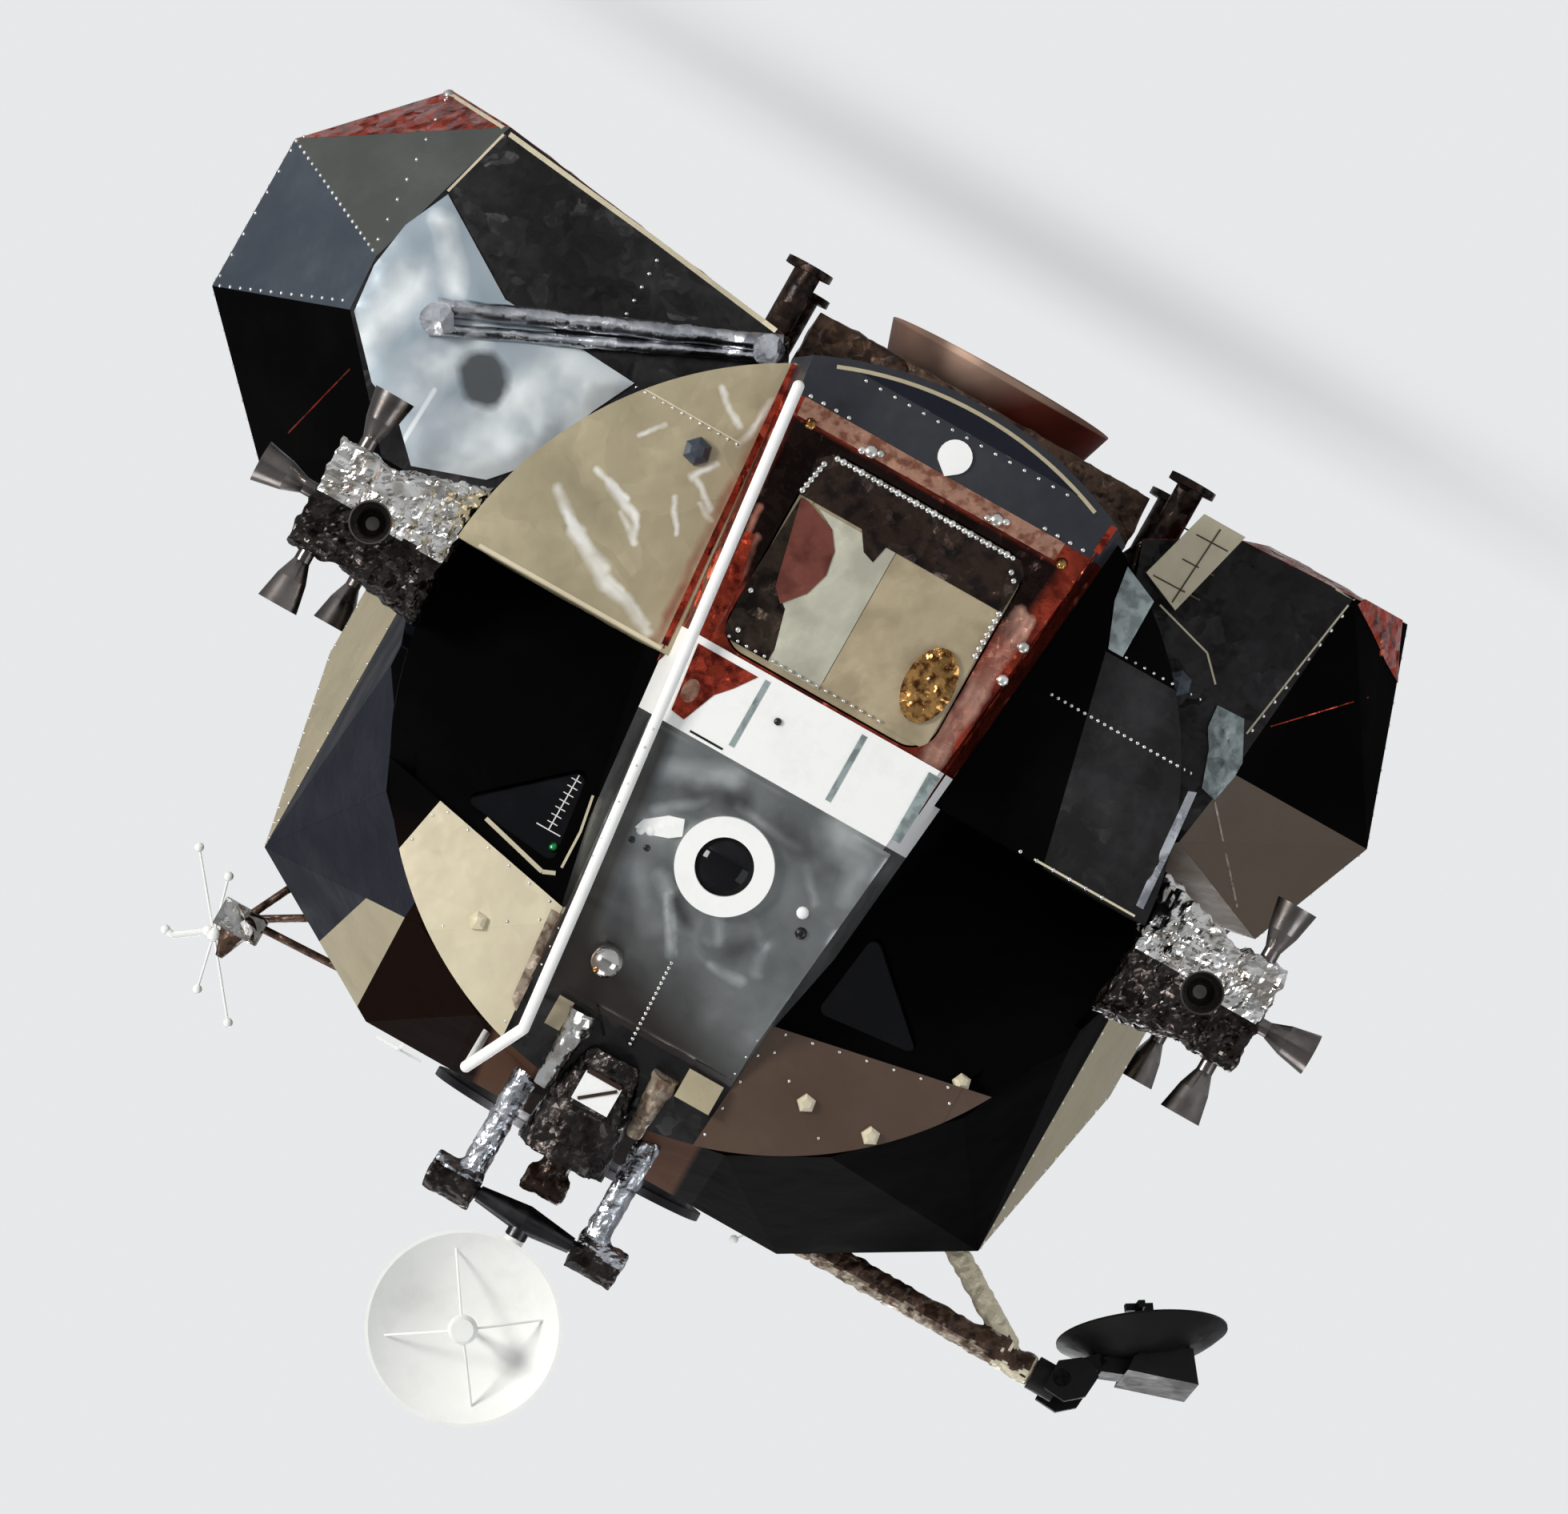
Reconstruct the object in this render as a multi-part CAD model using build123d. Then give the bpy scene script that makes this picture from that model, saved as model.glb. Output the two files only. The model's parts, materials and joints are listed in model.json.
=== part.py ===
from build123d import *
import math
import os
from itertools import combinations

os.makedirs("parts", exist_ok=True)

# Ascent stage of a lunar module, in millimetres.
# +Z is up, the crew looks along -Y, and +X is the crew's left hand, called port here.
# The origin is on the engine's axis, in the plane where the four feet met the stage below.

# Cabin drum, which lies fore and aft
drum_r = 1190.0
drum_z = 1384.0
wall = 80.0
drum_front = -1600.0
mid_front = -690.0
mid_rear = 690.0

# Clearances
seat = 0.3
running = 0.05
door_gap = 6.0

# Nose column that carries the forward hatch, seen from the front it narrows upwards
column_half_top = 400.0
column_ref_z = 2090.0
column_lean = 0.1
column_flare = 0.25
column_skin = 30.0

# Front face beside the column: cheek, ledge, window recess and brow
cheek_top = 1285.0
cheek_front = -1690.0
ledge_rear = -1130.0
window_foot_y = -1350.0
window_rake = -0.46
window_cant = 0.06
brow_drop = 0.2
brow_overhang = 20.0
brow_rake = 0.1
pane_depth = 20.0
pane_thick = 12.0

# Forward hatch
hatch_width = 716.0
hatch_foot = 513.0
hatch_head = 1179.0
hatch_corner = 90.0
hatch_thick = 56.0
hinge_r = 12.0

# Outer shields round the middle of the stage
roof_z = 2733.0
roof_half = 735.0
deck_half = 430.0
shoulder_x = 1277.0
shoulder_z = 2416.0
hip_x = 1425.0
fairing_front = -1560.0
fairing_r = 1206.0

# Docking tunnel on the roof
tunnel_r = 440.0
tunnel_bore = 405.0
tunnel_top = 2800.0
tunnel_foot = 2440.0
tunnel_y = 0.0

# Tank bays
bay_front = -800.0
bay_knee = -350.0

# Equipment bay behind the middle
aft_rear = 1850.0
aft_half = 1150.0

# Ascent engine
bell_exit_r = 395.0
bell_throat_r = 120.0
bell_exit_z = -25.0
bell_top_z = 420.0
bell_skin = 8.0

# Feet that met the stage below
foot_x = 686.0
foot_y = 686.0
foot_r = 45.0
foot_pad_r = 78.0
foot_pad_h = 24.0
foot_top = 260.0
bolt_r = 9.0

parts = {}


def keep(name, shape):
    """Files a node under its plain name."""
    parts[name] = Compound(children=list(shape.solids()))


def hull(points):
    """Convex solid with flat faces over the given corners."""
    corners = [Vector(*p) for p in points]
    flat = 1e-4
    done = set()
    faces = []
    for a, b, c in combinations(range(len(corners)), 3):
        across = (corners[b] - corners[a]).cross(corners[c] - corners[a])
        if across.length < 1.0:
            continue
        normal = across.normalized()
        heights = [normal.dot(p - corners[a]) for p in corners]
        if min(heights) < -flat and max(heights) > flat:
            continue
        if min(heights) < -flat:
            normal = normal * -1
            heights = [-h for h in heights]
        if max(heights) > flat:
            normal = normal * -1
        on_face = tuple(i for i, h in enumerate(heights) if abs(h) <= flat)
        if on_face in done:
            continue
        done.add(on_face)
        middle = sum((corners[i] for i in on_face), Vector(0, 0, 0)) * (1 / len(on_face))
        first = (corners[on_face[0]] - middle).normalized()
        second = normal.cross(first)
        turn = {
            i: math.atan2((corners[i] - middle).dot(second), (corners[i] - middle).dot(first))
            for i in on_face
        }
        ring = [corners[i] for i in sorted(on_face, key=lambda i: turn[i])]
        faces.append(Face(Wire.make_polygon(ring, close=True)))
    return Part() + Solid(Shell(faces))


def box(x0, x1, y0, y1, z0, z1):
    """Block between two corners."""
    centre = Pos((x0 + x1) / 2, (y0 + y1) / 2, (z0 + z1) / 2)
    return centre * Box(abs(x1 - x0), abs(y1 - y0), abs(z1 - z0))


def drum(radius, y0, y1):
    """Round bar about the cabin's fore-and-aft axis."""
    return Pos(0, (y0 + y1) / 2, drum_z) * Rot(90, 0, 0) * Cylinder(radius, y1 - y0)


def rod(start, end, r0, r1=None):
    """Round bar or cone from one point to another."""
    a = Vector(*start)
    b = Vector(*end)
    axis = Plane(origin=a, z_dir=b - a)
    low = (Align.CENTER, Align.CENTER, Align.MIN)
    if r1 is None or r1 == r0:
        return axis * Cylinder(r0, (b - a).length, align=low)
    return axis * Cone(r0, r1, (b - a).length, align=low)


def ball(centre, radius):
    """Sphere at a point."""
    return Pos(*centre) * Sphere(radius)


def bent_rod(points, radius):
    """Round bar through several points, with a ball at each bend."""
    bar = rod(points[0], points[1], radius)
    for start, end in zip(points[1:], points[2:]):
        bar += ball(start, radius)
        bar += rod(start, end, radius)
    return bar


def flip(shape):
    """The same piece on the starboard side."""
    return mirror(shape, about=Plane.YZ)


# The nose column's side planes. Its half width grows downwards and aft.
def column_half(z, y):
    return column_half_top + (column_ref_z - z) * column_lean + (y - drum_front) * column_flare


def column_solid(inset, y0, y1, z0, z1):
    return hull([
        (side * (column_half(z, y) - inset), y, z)
        for side in (-1, 1) for y in (y0, y1) for z in (z0, z1)
    ])


column_core = column_solid(0, -2200, -1000, 0, 2900)

# The window recess lies behind one slanted plane on each side.
recess_in = 300.0
recess_out = 1500.0


def brow_z(x):
    return column_ref_z - (x - column_half_top) * brow_drop


def window_y(x, z):
    rise = (z - cheek_top) * window_rake
    return window_foot_y + rise + (x - column_half_top) * window_cant


def recess_corners(shift):
    """Corners of the window plane, moved aft by shift."""
    return [
        (x, window_y(x, z) + shift, z)
        for x in (recess_in, recess_out) for z in (cheek_top, brow_z(x))
    ]


recess_mouth = [(x, -2300, z) for x in (recess_in, recess_out) for z in (cheek_top, brow_z(x))]
recess_port = hull(recess_corners(0) + recess_mouth)
recess = recess_port + flip(recess_port)

# Cabin barrel, a hollow drum notched at the front by the two window recesses
barrel = drum(drum_r, drum_front, mid_front) - drum(drum_r - wall, drum_front, mid_front)
keep("cabin_barrel", barrel - recess)

inner_drum = drum(drum_r - wall - seat, -1900, mid_front)

# Slanted window plates, each with its triangular window cut through
window_corners = [(455, 1998), (800, 1962), (500, 1690)]
window_round = 24.0
window_shape = make_face(Polyline(*window_corners, close=True))
window_shape = fillet(window_shape.vertices(), window_round)
window_plane = Plane(origin=(0, -1000, 0), x_dir=(1, 0, 0), z_dir=(0, -1, 0))
window_cut = extrude(window_plane * window_shape, amount=1100)
window_plate = hull(recess_corners(0) + recess_corners(wall)) & inner_drum
window_plate = window_plate - column_core
pane_slab = hull(recess_corners(pane_depth) + recess_corners(pane_depth + pane_thick))
pane = pane_slab & window_cut
window_plate = window_plate - window_cut
keep("window_panel_port", window_plate)
keep("window_panel_starboard", flip(window_plate))
keep("window_panes", pane + flip(pane))

# Cheek panels below the windows, with the ledge that closes the recess
cheek = drum(drum_r, cheek_front, drum_front) & box(0, 1400, cheek_front, drum_front, 0, cheek_top)
ledge = box(0, 1400, drum_front, ledge_rear, cheek_top - wall, cheek_top) & inner_drum
cheek = (cheek + ledge) - column_core
keep("cheek_panel_port", cheek)
keep("cheek_panel_starboard", flip(cheek))


# Brow panels, the round segments over the windows
def brow_y(x, z):
    lip = window_y(x, brow_z(x)) - brow_overhang
    return lip + (z - brow_z(x)) * brow_rake


brow_rows = [(x, z) for x in (recess_in, recess_out) for z in (brow_z(x), 2900)]
brow_block = hull(
    [(x, brow_y(x, z), z) for x, z in brow_rows] + [(x, drum_front, z) for x, z in brow_rows]
)
brow = (brow_block & drum(drum_r, -2300, drum_front)) - column_core
keep("brow_panel_port", brow)
keep("brow_panel_starboard", flip(brow))

# Nose column. Each station gives the height and how far forward its front face stands.
# Columns: z, front y
skirt_foot = (150.0, -1830.0)
sill_foot = (415.0, -1850.0)
sill_head = (480.0, -1870.0)
frame_head = (1188.0, -1870.0)
console_foot = (1188.0, -1882.0)
console_head = (1463.0, -1900.0)
nose_bend = (2000.0, -1850.0)
nose_head = (2319.0, -1740.0)
nose_top = (2620.0, -1610.0)


def column_stage(low, high, inset=0.0, front_skin=0.0, rear=drum_front):
    """One stretch of the column between two stations, narrowed by inset on each side."""
    corners = []
    for z, front in (low, high):
        for y in (front + front_skin, rear):
            corners += [(side * (column_half(z, y) - inset), y, z) for side in (-1, 1)]
    return hull(corners)


def column_shell(low, high):
    """The same stretch with a hollow behind its front skin, open to the cabin."""
    hollow = column_stage(low, high, column_skin, wall, drum_front + 1)
    return column_stage(low, high) - hollow


skirt = column_stage(skirt_foot, sill_foot) & drum(drum_r + 20, -2000, drum_front)
keep("lower_skirt", skirt)

hatch_z = (hatch_foot + hatch_head) / 2
hatch_height = hatch_head - hatch_foot
frame_inner_y = frame_head[1] + wall


def hatch_prism(y0, y1, shrink=0.0):
    """Rounded square of the hatch way between two depths."""
    face = RectangleRounded(
        hatch_width - 2 * shrink, hatch_height - 2 * shrink, hatch_corner - shrink
    )
    place = Plane(origin=(0, y1, hatch_z), x_dir=(1, 0, 0), z_dir=(0, -1, 0))
    return extrude(place * face, amount=y1 - y0)


sill = column_stage(sill_foot, sill_head)
frame_block = column_stage(sill_head, frame_head)
frame_hollow = column_stage(
    (sill_head[0], frame_head[1]), frame_head, column_skin, wall, drum_front + 1
)
hatch_frame = (sill + (frame_block - frame_hollow)) - hatch_prism(-2000, drum_front)

# Hinge of the forward hatch on its starboard side, pins on the frame and knuckles on the leaf
hinge_x = -hatch_width / 2 - 8.0
hinge_y = frame_inner_y + hinge_r + 3.0
pin_r = 6.0
knuckle_half = 45.0
hinge_heights = (hatch_z - 190.0, hatch_z + 190.0)
lug_gap = 2.0
lug_thick = 14.0
leaf_front = frame_head[1] + 8.0
leaf = hatch_prism(leaf_front, leaf_front + hatch_thick, door_gap)
for z in hinge_heights:
    reach = knuckle_half + lug_gap + lug_thick
    hatch_frame += rod((hinge_x, hinge_y, z - reach), (hinge_x, hinge_y, z + reach), pin_r)
    for side in (-1, 1):
        lug_z = z + side * (knuckle_half + lug_gap + lug_thick / 2)
        hatch_frame += box(
            hinge_x - hinge_r, hinge_x + hinge_r, frame_inner_y - 1, hinge_y + hinge_r,
            lug_z - lug_thick / 2, lug_z + lug_thick / 2,
        )
    arm_out = hinge_x + 62.0
    knuckle = rod((hinge_x, hinge_y, z - knuckle_half), (hinge_x, hinge_y, z + knuckle_half), hinge_r)
    knuckle += box(hinge_x, arm_out, hinge_y - 6, hinge_y + 6, z - knuckle_half, z + knuckle_half)
    knuckle += box(
        hinge_x + 24, arm_out, leaf_front + hatch_thick - 1, hinge_y + 6,
        z - knuckle_half, z + knuckle_half,
    )
    knuckle -= rod(
        (hinge_x, hinge_y, z - 200), (hinge_x, hinge_y, z + 200), pin_r + running
    )
    leaf += knuckle
keep("hatch_frame", hatch_frame)

# The leaf has a round sight port blank and a stiffening rim on its outside
leaf += hatch_prism(leaf_front - 5, leaf_front, 30) - hatch_prism(leaf_front - 6, leaf_front, 52)
port_x = -275.0
port_z = 965.0
leaf += rod((port_x, leaf_front - 14, port_z), (port_x, leaf_front + 5, port_z), 60, 78)
keep("forward_hatch", leaf)

console = column_shell(console_foot, console_head)
keep("console_panel", console)
nose = column_shell(console_head, nose_bend) + column_shell(nose_bend, nose_head)
keep("nose_panel", nose)
nose_cap = column_stage(nose_head, nose_top) & drum(drum_r, -2000, drum_front)
keep("nose_cap", nose_cap)

# Walls that close the window recesses towards the column
side_hollow = column_solid(column_skin, -2200, -1000, 0, 2900)
recess_side_line = [
    (drum_front, cheek_top - wall),
    (window_foot_y + wall, cheek_top - wall),
    (window_foot_y + wall, cheek_top),
    (drum_front, cheek_top + (drum_front - window_foot_y - wall) / window_rake),
]
side_strip = hull([(x, y, z) for x in (-900, 900) for y, z in recess_side_line])
keep("recess_side_walls", (column_core & side_strip) - side_hollow)

# Tracking light, a white ring round a dark lens on the sloping nose panel
light_z = 1750.0
light_r = 150.0
light_bore = 89.0
light_depth = 34.0
slope = (nose_bend[1] - console_head[1]) / (nose_bend[0] - console_head[0])
light_y = console_head[1] + (light_z - console_head[0]) * slope
light_plane = Plane(origin=(0, light_y, light_z), x_dir=(1, 0, 0), z_dir=(0, -1, slope))
low = (Align.CENTER, Align.CENTER, Align.MIN)
ring = light_plane * (Cylinder(light_r, light_depth, align=low) - Cylinder(light_bore, 90))
lens_plate = Cylinder(light_bore - seat, light_depth * 0.4, align=low)
lens_dome_r = (light_bore * light_bore + 30 * 30) / (2 * 30)
lens_dome = Pos(0, 0, light_depth * 0.4 + 30 - lens_dome_r) * Sphere(lens_dome_r)
lens_dome = lens_dome & Cylinder(light_bore - seat - 1, 90, align=low)
keep("tracking_light_ring", ring)
keep("tracking_light_lens", light_plane * (lens_plate + lens_dome))

# Middle of the stage, a hollow drum closed by the rear bulkhead
mid = drum(drum_r, mid_front, mid_rear) - drum(drum_r - wall, mid_front, mid_rear - wall)
tunnel_hole = Pos(0, tunnel_y, 2400) * Cylinder(tunnel_r + seat, 900)
bell_hole_r = 330.0
bell_hole = Pos(0, 0, 150) * Cylinder(bell_hole_r, 700)
keep("middle_drum", mid - tunnel_hole - bell_hole)

# Docking tunnel with its flange, and the drogue cone inside it
flange_r = 480.0
flange_h = 26.0
tunnel = Cylinder(tunnel_r, tunnel_top - tunnel_foot, align=low)
tunnel += Pos(0, 0, tunnel_top - tunnel_foot - flange_h) * Cylinder(flange_r, flange_h, align=low)
tunnel -= Pos(0, 0, -1) * Cylinder(tunnel_bore, 900, align=low)
keep("docking_tunnel", Pos(0, tunnel_y, tunnel_foot) * tunnel)
drogue_depth = 290.0
drogue_skin = 10.0
drogue_tip_r = 45.0
drogue_rim_r = tunnel_bore - seat
drogue_z = tunnel_top - 8.0 - drogue_depth
drogue = Cone(drogue_tip_r + drogue_skin, drogue_rim_r, drogue_depth, align=low)
drogue -= Pos(0, 0, 0.01) * Cone(drogue_tip_r, drogue_rim_r - drogue_skin, drogue_depth, align=low)
drogue += Cylinder(drogue_tip_r + drogue_skin, drogue_skin, align=low)
drogue += Pos(0, 0, drogue_depth - 14) * (
    Cylinder(drogue_rim_r, 14, align=low) - Cylinder(drogue_rim_r - drogue_skin - 8, 40)
)
keep("docking_drogue", Pos(0, tunnel_y, drogue_z) * drogue)

# Shields over the middle: roof deck between two shoulders
shoulder_line = [(deck_half, roof_z), (roof_half, roof_z), (shoulder_x, shoulder_z)]
hip_y = -150.0
shoulder_port = hull(
    [(x, y, z) for x, z in shoulder_line for y in (mid_front, mid_rear)]
    + [(deck_half, y, drum_z) for y in (mid_front, mid_rear)]
    + [(shoulder_x, mid_front, 1480)]
    + [(1150, y, 1240) for y in (mid_front, mid_rear)]
    + [(hip_x, y, z) for y in (hip_y, mid_rear) for z in (1450, 1800)]
)
drum_clear = drum(drum_r + seat, -2500, mid_rear)
drum_body = drum(drum_r + seat, drum_front, mid_rear)
shoulder_port = shoulder_port - drum_clear - tunnel_hole
keep("shoulder_shield_port", shoulder_port)
keep("shoulder_shield_starboard", flip(shoulder_port))
deck = box(-deck_half, deck_half, mid_front, mid_rear, drum_z, roof_z) - drum_clear - tunnel_hole
keep("roof_deck", deck)

# Fairing from the front rim of the drum back to the shoulders
fairing_turns = (14.0, 34.0, 54.0)
fairing_rim = [
    (
        fairing_r * math.cos(math.radians(turn)),
        fairing_front,
        drum_z + fairing_r * math.sin(math.radians(turn)),
    )
    for turn in fairing_turns
]
rim_top = drum_z + math.sqrt(fairing_r * fairing_r - deck_half * deck_half)
fairing_port = hull(
    fairing_rim
    + [(deck_half, fairing_front, rim_top), (deck_half, fairing_front, drum_z + 300)]
    + [(x, mid_front, z) for x, z in shoulder_line]
    + [(shoulder_x, mid_front, 1480), (deck_half, mid_front, drum_z + 300)]
)
fairing_port = fairing_port - drum_clear - recess
keep("front_fairing_port", fairing_port)
keep("front_fairing_starboard", flip(fairing_port))
front_deck = hull(
    [(side * deck_half, fairing_front, z) for side in (-1, 1) for z in (drum_z + 300, rim_top)]
    + [(0, fairing_front, drum_z + fairing_r)]
    + [(side * deck_half, mid_front, z) for side in (-1, 1) for z in (drum_z + 300, roof_z)]
) - drum_clear
keep("front_deck", front_deck)

# Equipment bay behind the rear bulkhead, a tapered box of flat shields
aft_front_line = [(aft_half, 420), (aft_half, 2240), (820, 2600)]
aft_rear_line = [(980, 600), (1000, 2080), (700, 2330)]
aft_bay = hull(
    [(side * x, mid_rear, z) for side in (-1, 1) for x, z in aft_front_line]
    + [(side * x, aft_rear, z) for side in (-1, 1) for x, z in aft_rear_line]
)
keep("aft_equipment_bay", aft_bay)


def tank_bay(front_line, knee_line):
    """Faceted bay beside the drum, the same fore and aft, on the port side."""
    solid = hull(
        [(x, y, z) for x, z in front_line for y in (bay_front, -bay_front)]
        + [(x, y, z) for x, z in knee_line for y in (bay_knee, -bay_knee)]
    )
    return solid - drum_clear - shoulder_port - aft_bay


# Corners of the tank bays, columns: x, z
fuel_front = [(630, 238), (1710, 92), (1874, 646), (1864, 830), (1554, 1180), (1000, 1180)]
fuel_knee = [(630, 238), (1955, 59), (2310, 434), (2310, 967), (1905, 1380), (1000, 1250)]
oxidizer_front = [(630, 238), (900, 90), (1291, 73), (1230, 733), (1190, 1000), (900, 1000)]
oxidizer_knee = [(630, 238), (1000, 40), (1500, 40), (1737, 720), (1570, 1140), (900, 1240)]
fuel_bay = tank_bay(fuel_front, fuel_knee)
oxidizer_bay = flip(tank_bay(oxidizer_front, oxidizer_knee))
keep("fuel_tank_bay", fuel_bay)
keep("oxidizer_tank_bay", oxidizer_bay)

# Twin tubes across the front of the fuel bay
strut_r = 22.0
strut_y = bay_front - strut_r - seat
strut = None
for drop in (0, 50):
    tube = rod((650, strut_y, 275 - drop * 0.9), (1640, strut_y, 745 - drop * 0.9), strut_r)
    strut = tube if strut is None else strut + tube
strut += box(1600, 1650, strut_y - strut_r, strut_y + strut_r, 660, 760)
strut += box(640, 690, strut_y - strut_r, strut_y + strut_r, 215, 300)
keep("fuel_bay_strut", strut)

# Flat box strut down the front of the oxidizer bay
umbilical_line = [(-825, 383), (-903, 78), (-757, 78), (-689, 325)]
umbilical_depth = 60.0
umbilical = hull(
    [(x, y, z) for x, z in umbilical_line for y in (bay_front - umbilical_depth, bay_front)]
)
keep("umbilical_box", umbilical - drum_clear)

# Ascent engine: one bell with its chamber, under a round cover in the cabin
cover_r = 430.0
cover_bore = 350.0
cover_top = 1050.0
cover_cap = 40.0
chamber_r = 170.0
bell_line = [
    (bell_exit_r, bell_exit_z), (350, 110), (270, 260), (bell_throat_r + bell_skin, bell_top_z),
    (chamber_r, bell_top_z + 60), (chamber_r, cover_top - cover_cap), (0, cover_top - cover_cap),
    (0, bell_top_z), (bell_throat_r, bell_top_z), (270 - bell_skin, 260 - 3), (350 - bell_skin, 110 - 3),
    (bell_exit_r - bell_skin, bell_exit_z),
]
bell_face = Plane.XZ * make_face(Polyline(*bell_line, close=True))
engine = revolve(bell_face, axis=Axis.Z)
keep("ascent_engine", engine)
cover = Pos(0, 0, 150) * Cylinder(cover_r, cover_top - 150, align=low)
cover -= Pos(0, 0, 100) * Cylinder(cover_bore, cover_top - cover_cap - 100, align=low)
cover = cover & drum(drum_r - wall - seat, -600, 600)
keep("engine_cover", cover)

# Heat shield under the drum, with the round hole for the bell
base_half_x = 590.0
base_half_y = 640.0
base_foot = 110.0
base_hole_r = 410.0
base = box(-base_half_x, base_half_x, -base_half_y, base_half_y, base_foot, 330) - drum_clear
base -= Pos(0, 0, 0) * Cylinder(base_hole_r, 900)
keep("base_heat_shield", base)

# Four feet with their bolt holes
feet = None
for sx, bay in ((1, fuel_bay), (-1, oxidizer_bay)):
    for sy in (-1, 1):
        place = Pos(sx * foot_x, sy * foot_y, 0)
        foot = place * Cylinder(foot_r, foot_top, align=low)
        foot += place * Cylinder(foot_pad_r, foot_pad_h, align=low)
        foot -= place * Cylinder(bolt_r, 160)
        foot = foot - bay - drum_clear
        feet = foot if feet is None else feet + foot
keep("interstage_feet", feet)

# Clusters of four small thrusters at the corners
quad_x = 1562.0
quad_y = -1600.0
quad_low = 1195.0
quad_high = 1545.0
quad_half_x = 70.0
quad_half_y = 85.0
forward_x = 1446.0
thrust_z = 1378.0
nozzle_throat_r = 26.0
nozzle_mid_r = 48.0
nozzle_exit_r = 66.0
nozzle_neck = 36.0
nozzle_len = 150.0
nozzle_skin = 5.0


def nozzle(start, toward):
    """Short neck and an open bell, pointing away from start."""
    axis = Plane(origin=start, z_dir=toward)
    mid = nozzle_neck + nozzle_len * 0.4
    tip = nozzle_neck + nozzle_len
    line = [
        (0, 0), (nozzle_throat_r, 0), (nozzle_throat_r, nozzle_neck), (nozzle_mid_r, mid),
        (nozzle_exit_r, tip), (nozzle_exit_r - nozzle_skin, tip), (nozzle_mid_r - nozzle_skin, mid),
        (nozzle_throat_r - nozzle_skin, nozzle_neck + 4), (0, nozzle_neck + 4),
    ]
    return axis * revolve(Plane.XZ * make_face(Polyline(*line, close=True)), axis=Axis.Z)


quad_box = box(
    quad_x - quad_half_x, quad_x + quad_half_x, quad_y - quad_half_y, quad_y + quad_half_y,
    quad_low, quad_high,
)
quad_arm_in = [(y, z) for y in (-1560, -1240) for z in (1090, 1590)]
quad_arm_mid = [(-1668, 1230), (-1668, 1520), (-1330, 1230), (-1330, 1560)]
quad_arm = hull(
    [(1100, y, z) for y, z in quad_arm_in]
    + [(forward_x - 60, y, z) for y, z in quad_arm_mid]
    + [(quad_x - quad_half_x, y, z) for y in (quad_y - quad_half_y + 20, quad_y + quad_half_y)
       for z in (quad_low + 20, quad_high - 20)]
)
quad_front = (quad_box + quad_arm) - drum_clear - fairing_port - cheek
rear_arm = hull(
    [(900, -y, z) for y, z in quad_arm_in]
    + [(forward_x - 60, -y, z) for y, z in quad_arm_mid]
    + [(quad_x - quad_half_x, -y, z) for y in (quad_y - quad_half_y + 20, quad_y + quad_half_y)
       for z in (quad_low + 20, quad_high - 20)]
)
quad_rear = mirror(quad_box, about=Plane.XZ) + rear_arm
quad_rear = quad_rear - aft_bay
arm_front_y = -1668.0
jets = nozzle((quad_x, quad_y, quad_high), (0, 0, 1))
jets += nozzle((quad_x, quad_y, quad_low), (0, 0, -1))
jets += nozzle((quad_x + quad_half_x, quad_y, thrust_z), (1, 0, 0))
jets += nozzle((forward_x - 20, arm_front_y, thrust_z), (0, -1, 0))
jets = jets - quad_box - quad_arm
for end, house, thrusters in (
    ("front", quad_front, jets), ("rear", quad_rear, mirror(jets, about=Plane.XZ)),
):
    keep(f"thruster_housing_port_{end}", house)
    keep(f"thrusters_port_{end}", thrusters)
    keep(f"thruster_housing_starboard_{end}", flip(house))
    keep(f"thrusters_starboard_{end}", flip(thrusters))

# Rendezvous radar on its pedestal over the nose
radar_y = -1350.0
radar_axis_z = 2990.0
post_x = 214.0
post_r = 42.0
drum_end_r = 64.0
drum_end_in = 170.0
drum_end_out = 330.0
yoke_gap = 8.0
journal_r = 20.0
knob_top = 2915.0
post_foot = 2480.0
pedestal = None


def radar_bar(x0, x1, r0, r1=None):
    """Round bar along the radar's athwart axis."""
    return rod((x0, radar_y, radar_axis_z), (x1, radar_y, radar_axis_z), r0, r1)


for side in (-1, 1):
    post = rod(
        (side * post_x, radar_y, post_foot), (side * post_x, radar_y, radar_axis_z - 20), post_r
    )
    post += radar_bar(side * drum_end_in, side * drum_end_out, drum_end_r)
    post -= radar_bar(side * 100, side * 250, journal_r + running)
    pedestal = post if pedestal is None else pedestal + post
centre_post = rod((0, radar_y, post_foot), (0, radar_y, knob_top - 40), 62, 45)
centre_post += rod((-70, radar_y, knob_top - 50), (70, radar_y, knob_top - 50), 44)
pedestal += centre_post
pedestal = pedestal - front_deck - drum_clear
keep("radar_pedestal", pedestal)

# The yoke turns about the athwart axis between the end drums
yoke_reach = drum_end_in - yoke_gap
yoke = radar_bar(-yoke_reach, 0, 26, 46)
yoke += radar_bar(0, yoke_reach, 46, 26)
yoke += radar_bar(-240, 240, journal_r)
boss_top = radar_axis_z + 62.0
yoke += rod((0, radar_y, radar_axis_z), (0, radar_y, boss_top), 34)
trunnion_pin_r = 14.0
pin_top = boss_top + 34.0
yoke += rod((0, radar_y, radar_axis_z), (0, radar_y, pin_top), trunnion_pin_r)
keep("radar_yoke", yoke)

# Dish, open towards the front, turning on the yoke's upright pin
dish_r = 300.0
dish_z = 3362.0
dish_depth = 95.0
dish_skin = 6.0
dish_y = radar_y - 10.0


def dish(radius, depth, skin):
    """Shallow round bowl that opens along +Z from its middle at the origin."""
    curve = (radius * radius + depth * depth) / (2 * depth)
    bowl = Pos(0, 0, curve) * Sphere(curve)
    bowl -= Pos(0, 0, curve) * Sphere(curve - skin)
    return bowl & Cylinder(radius, depth, align=low)


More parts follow.
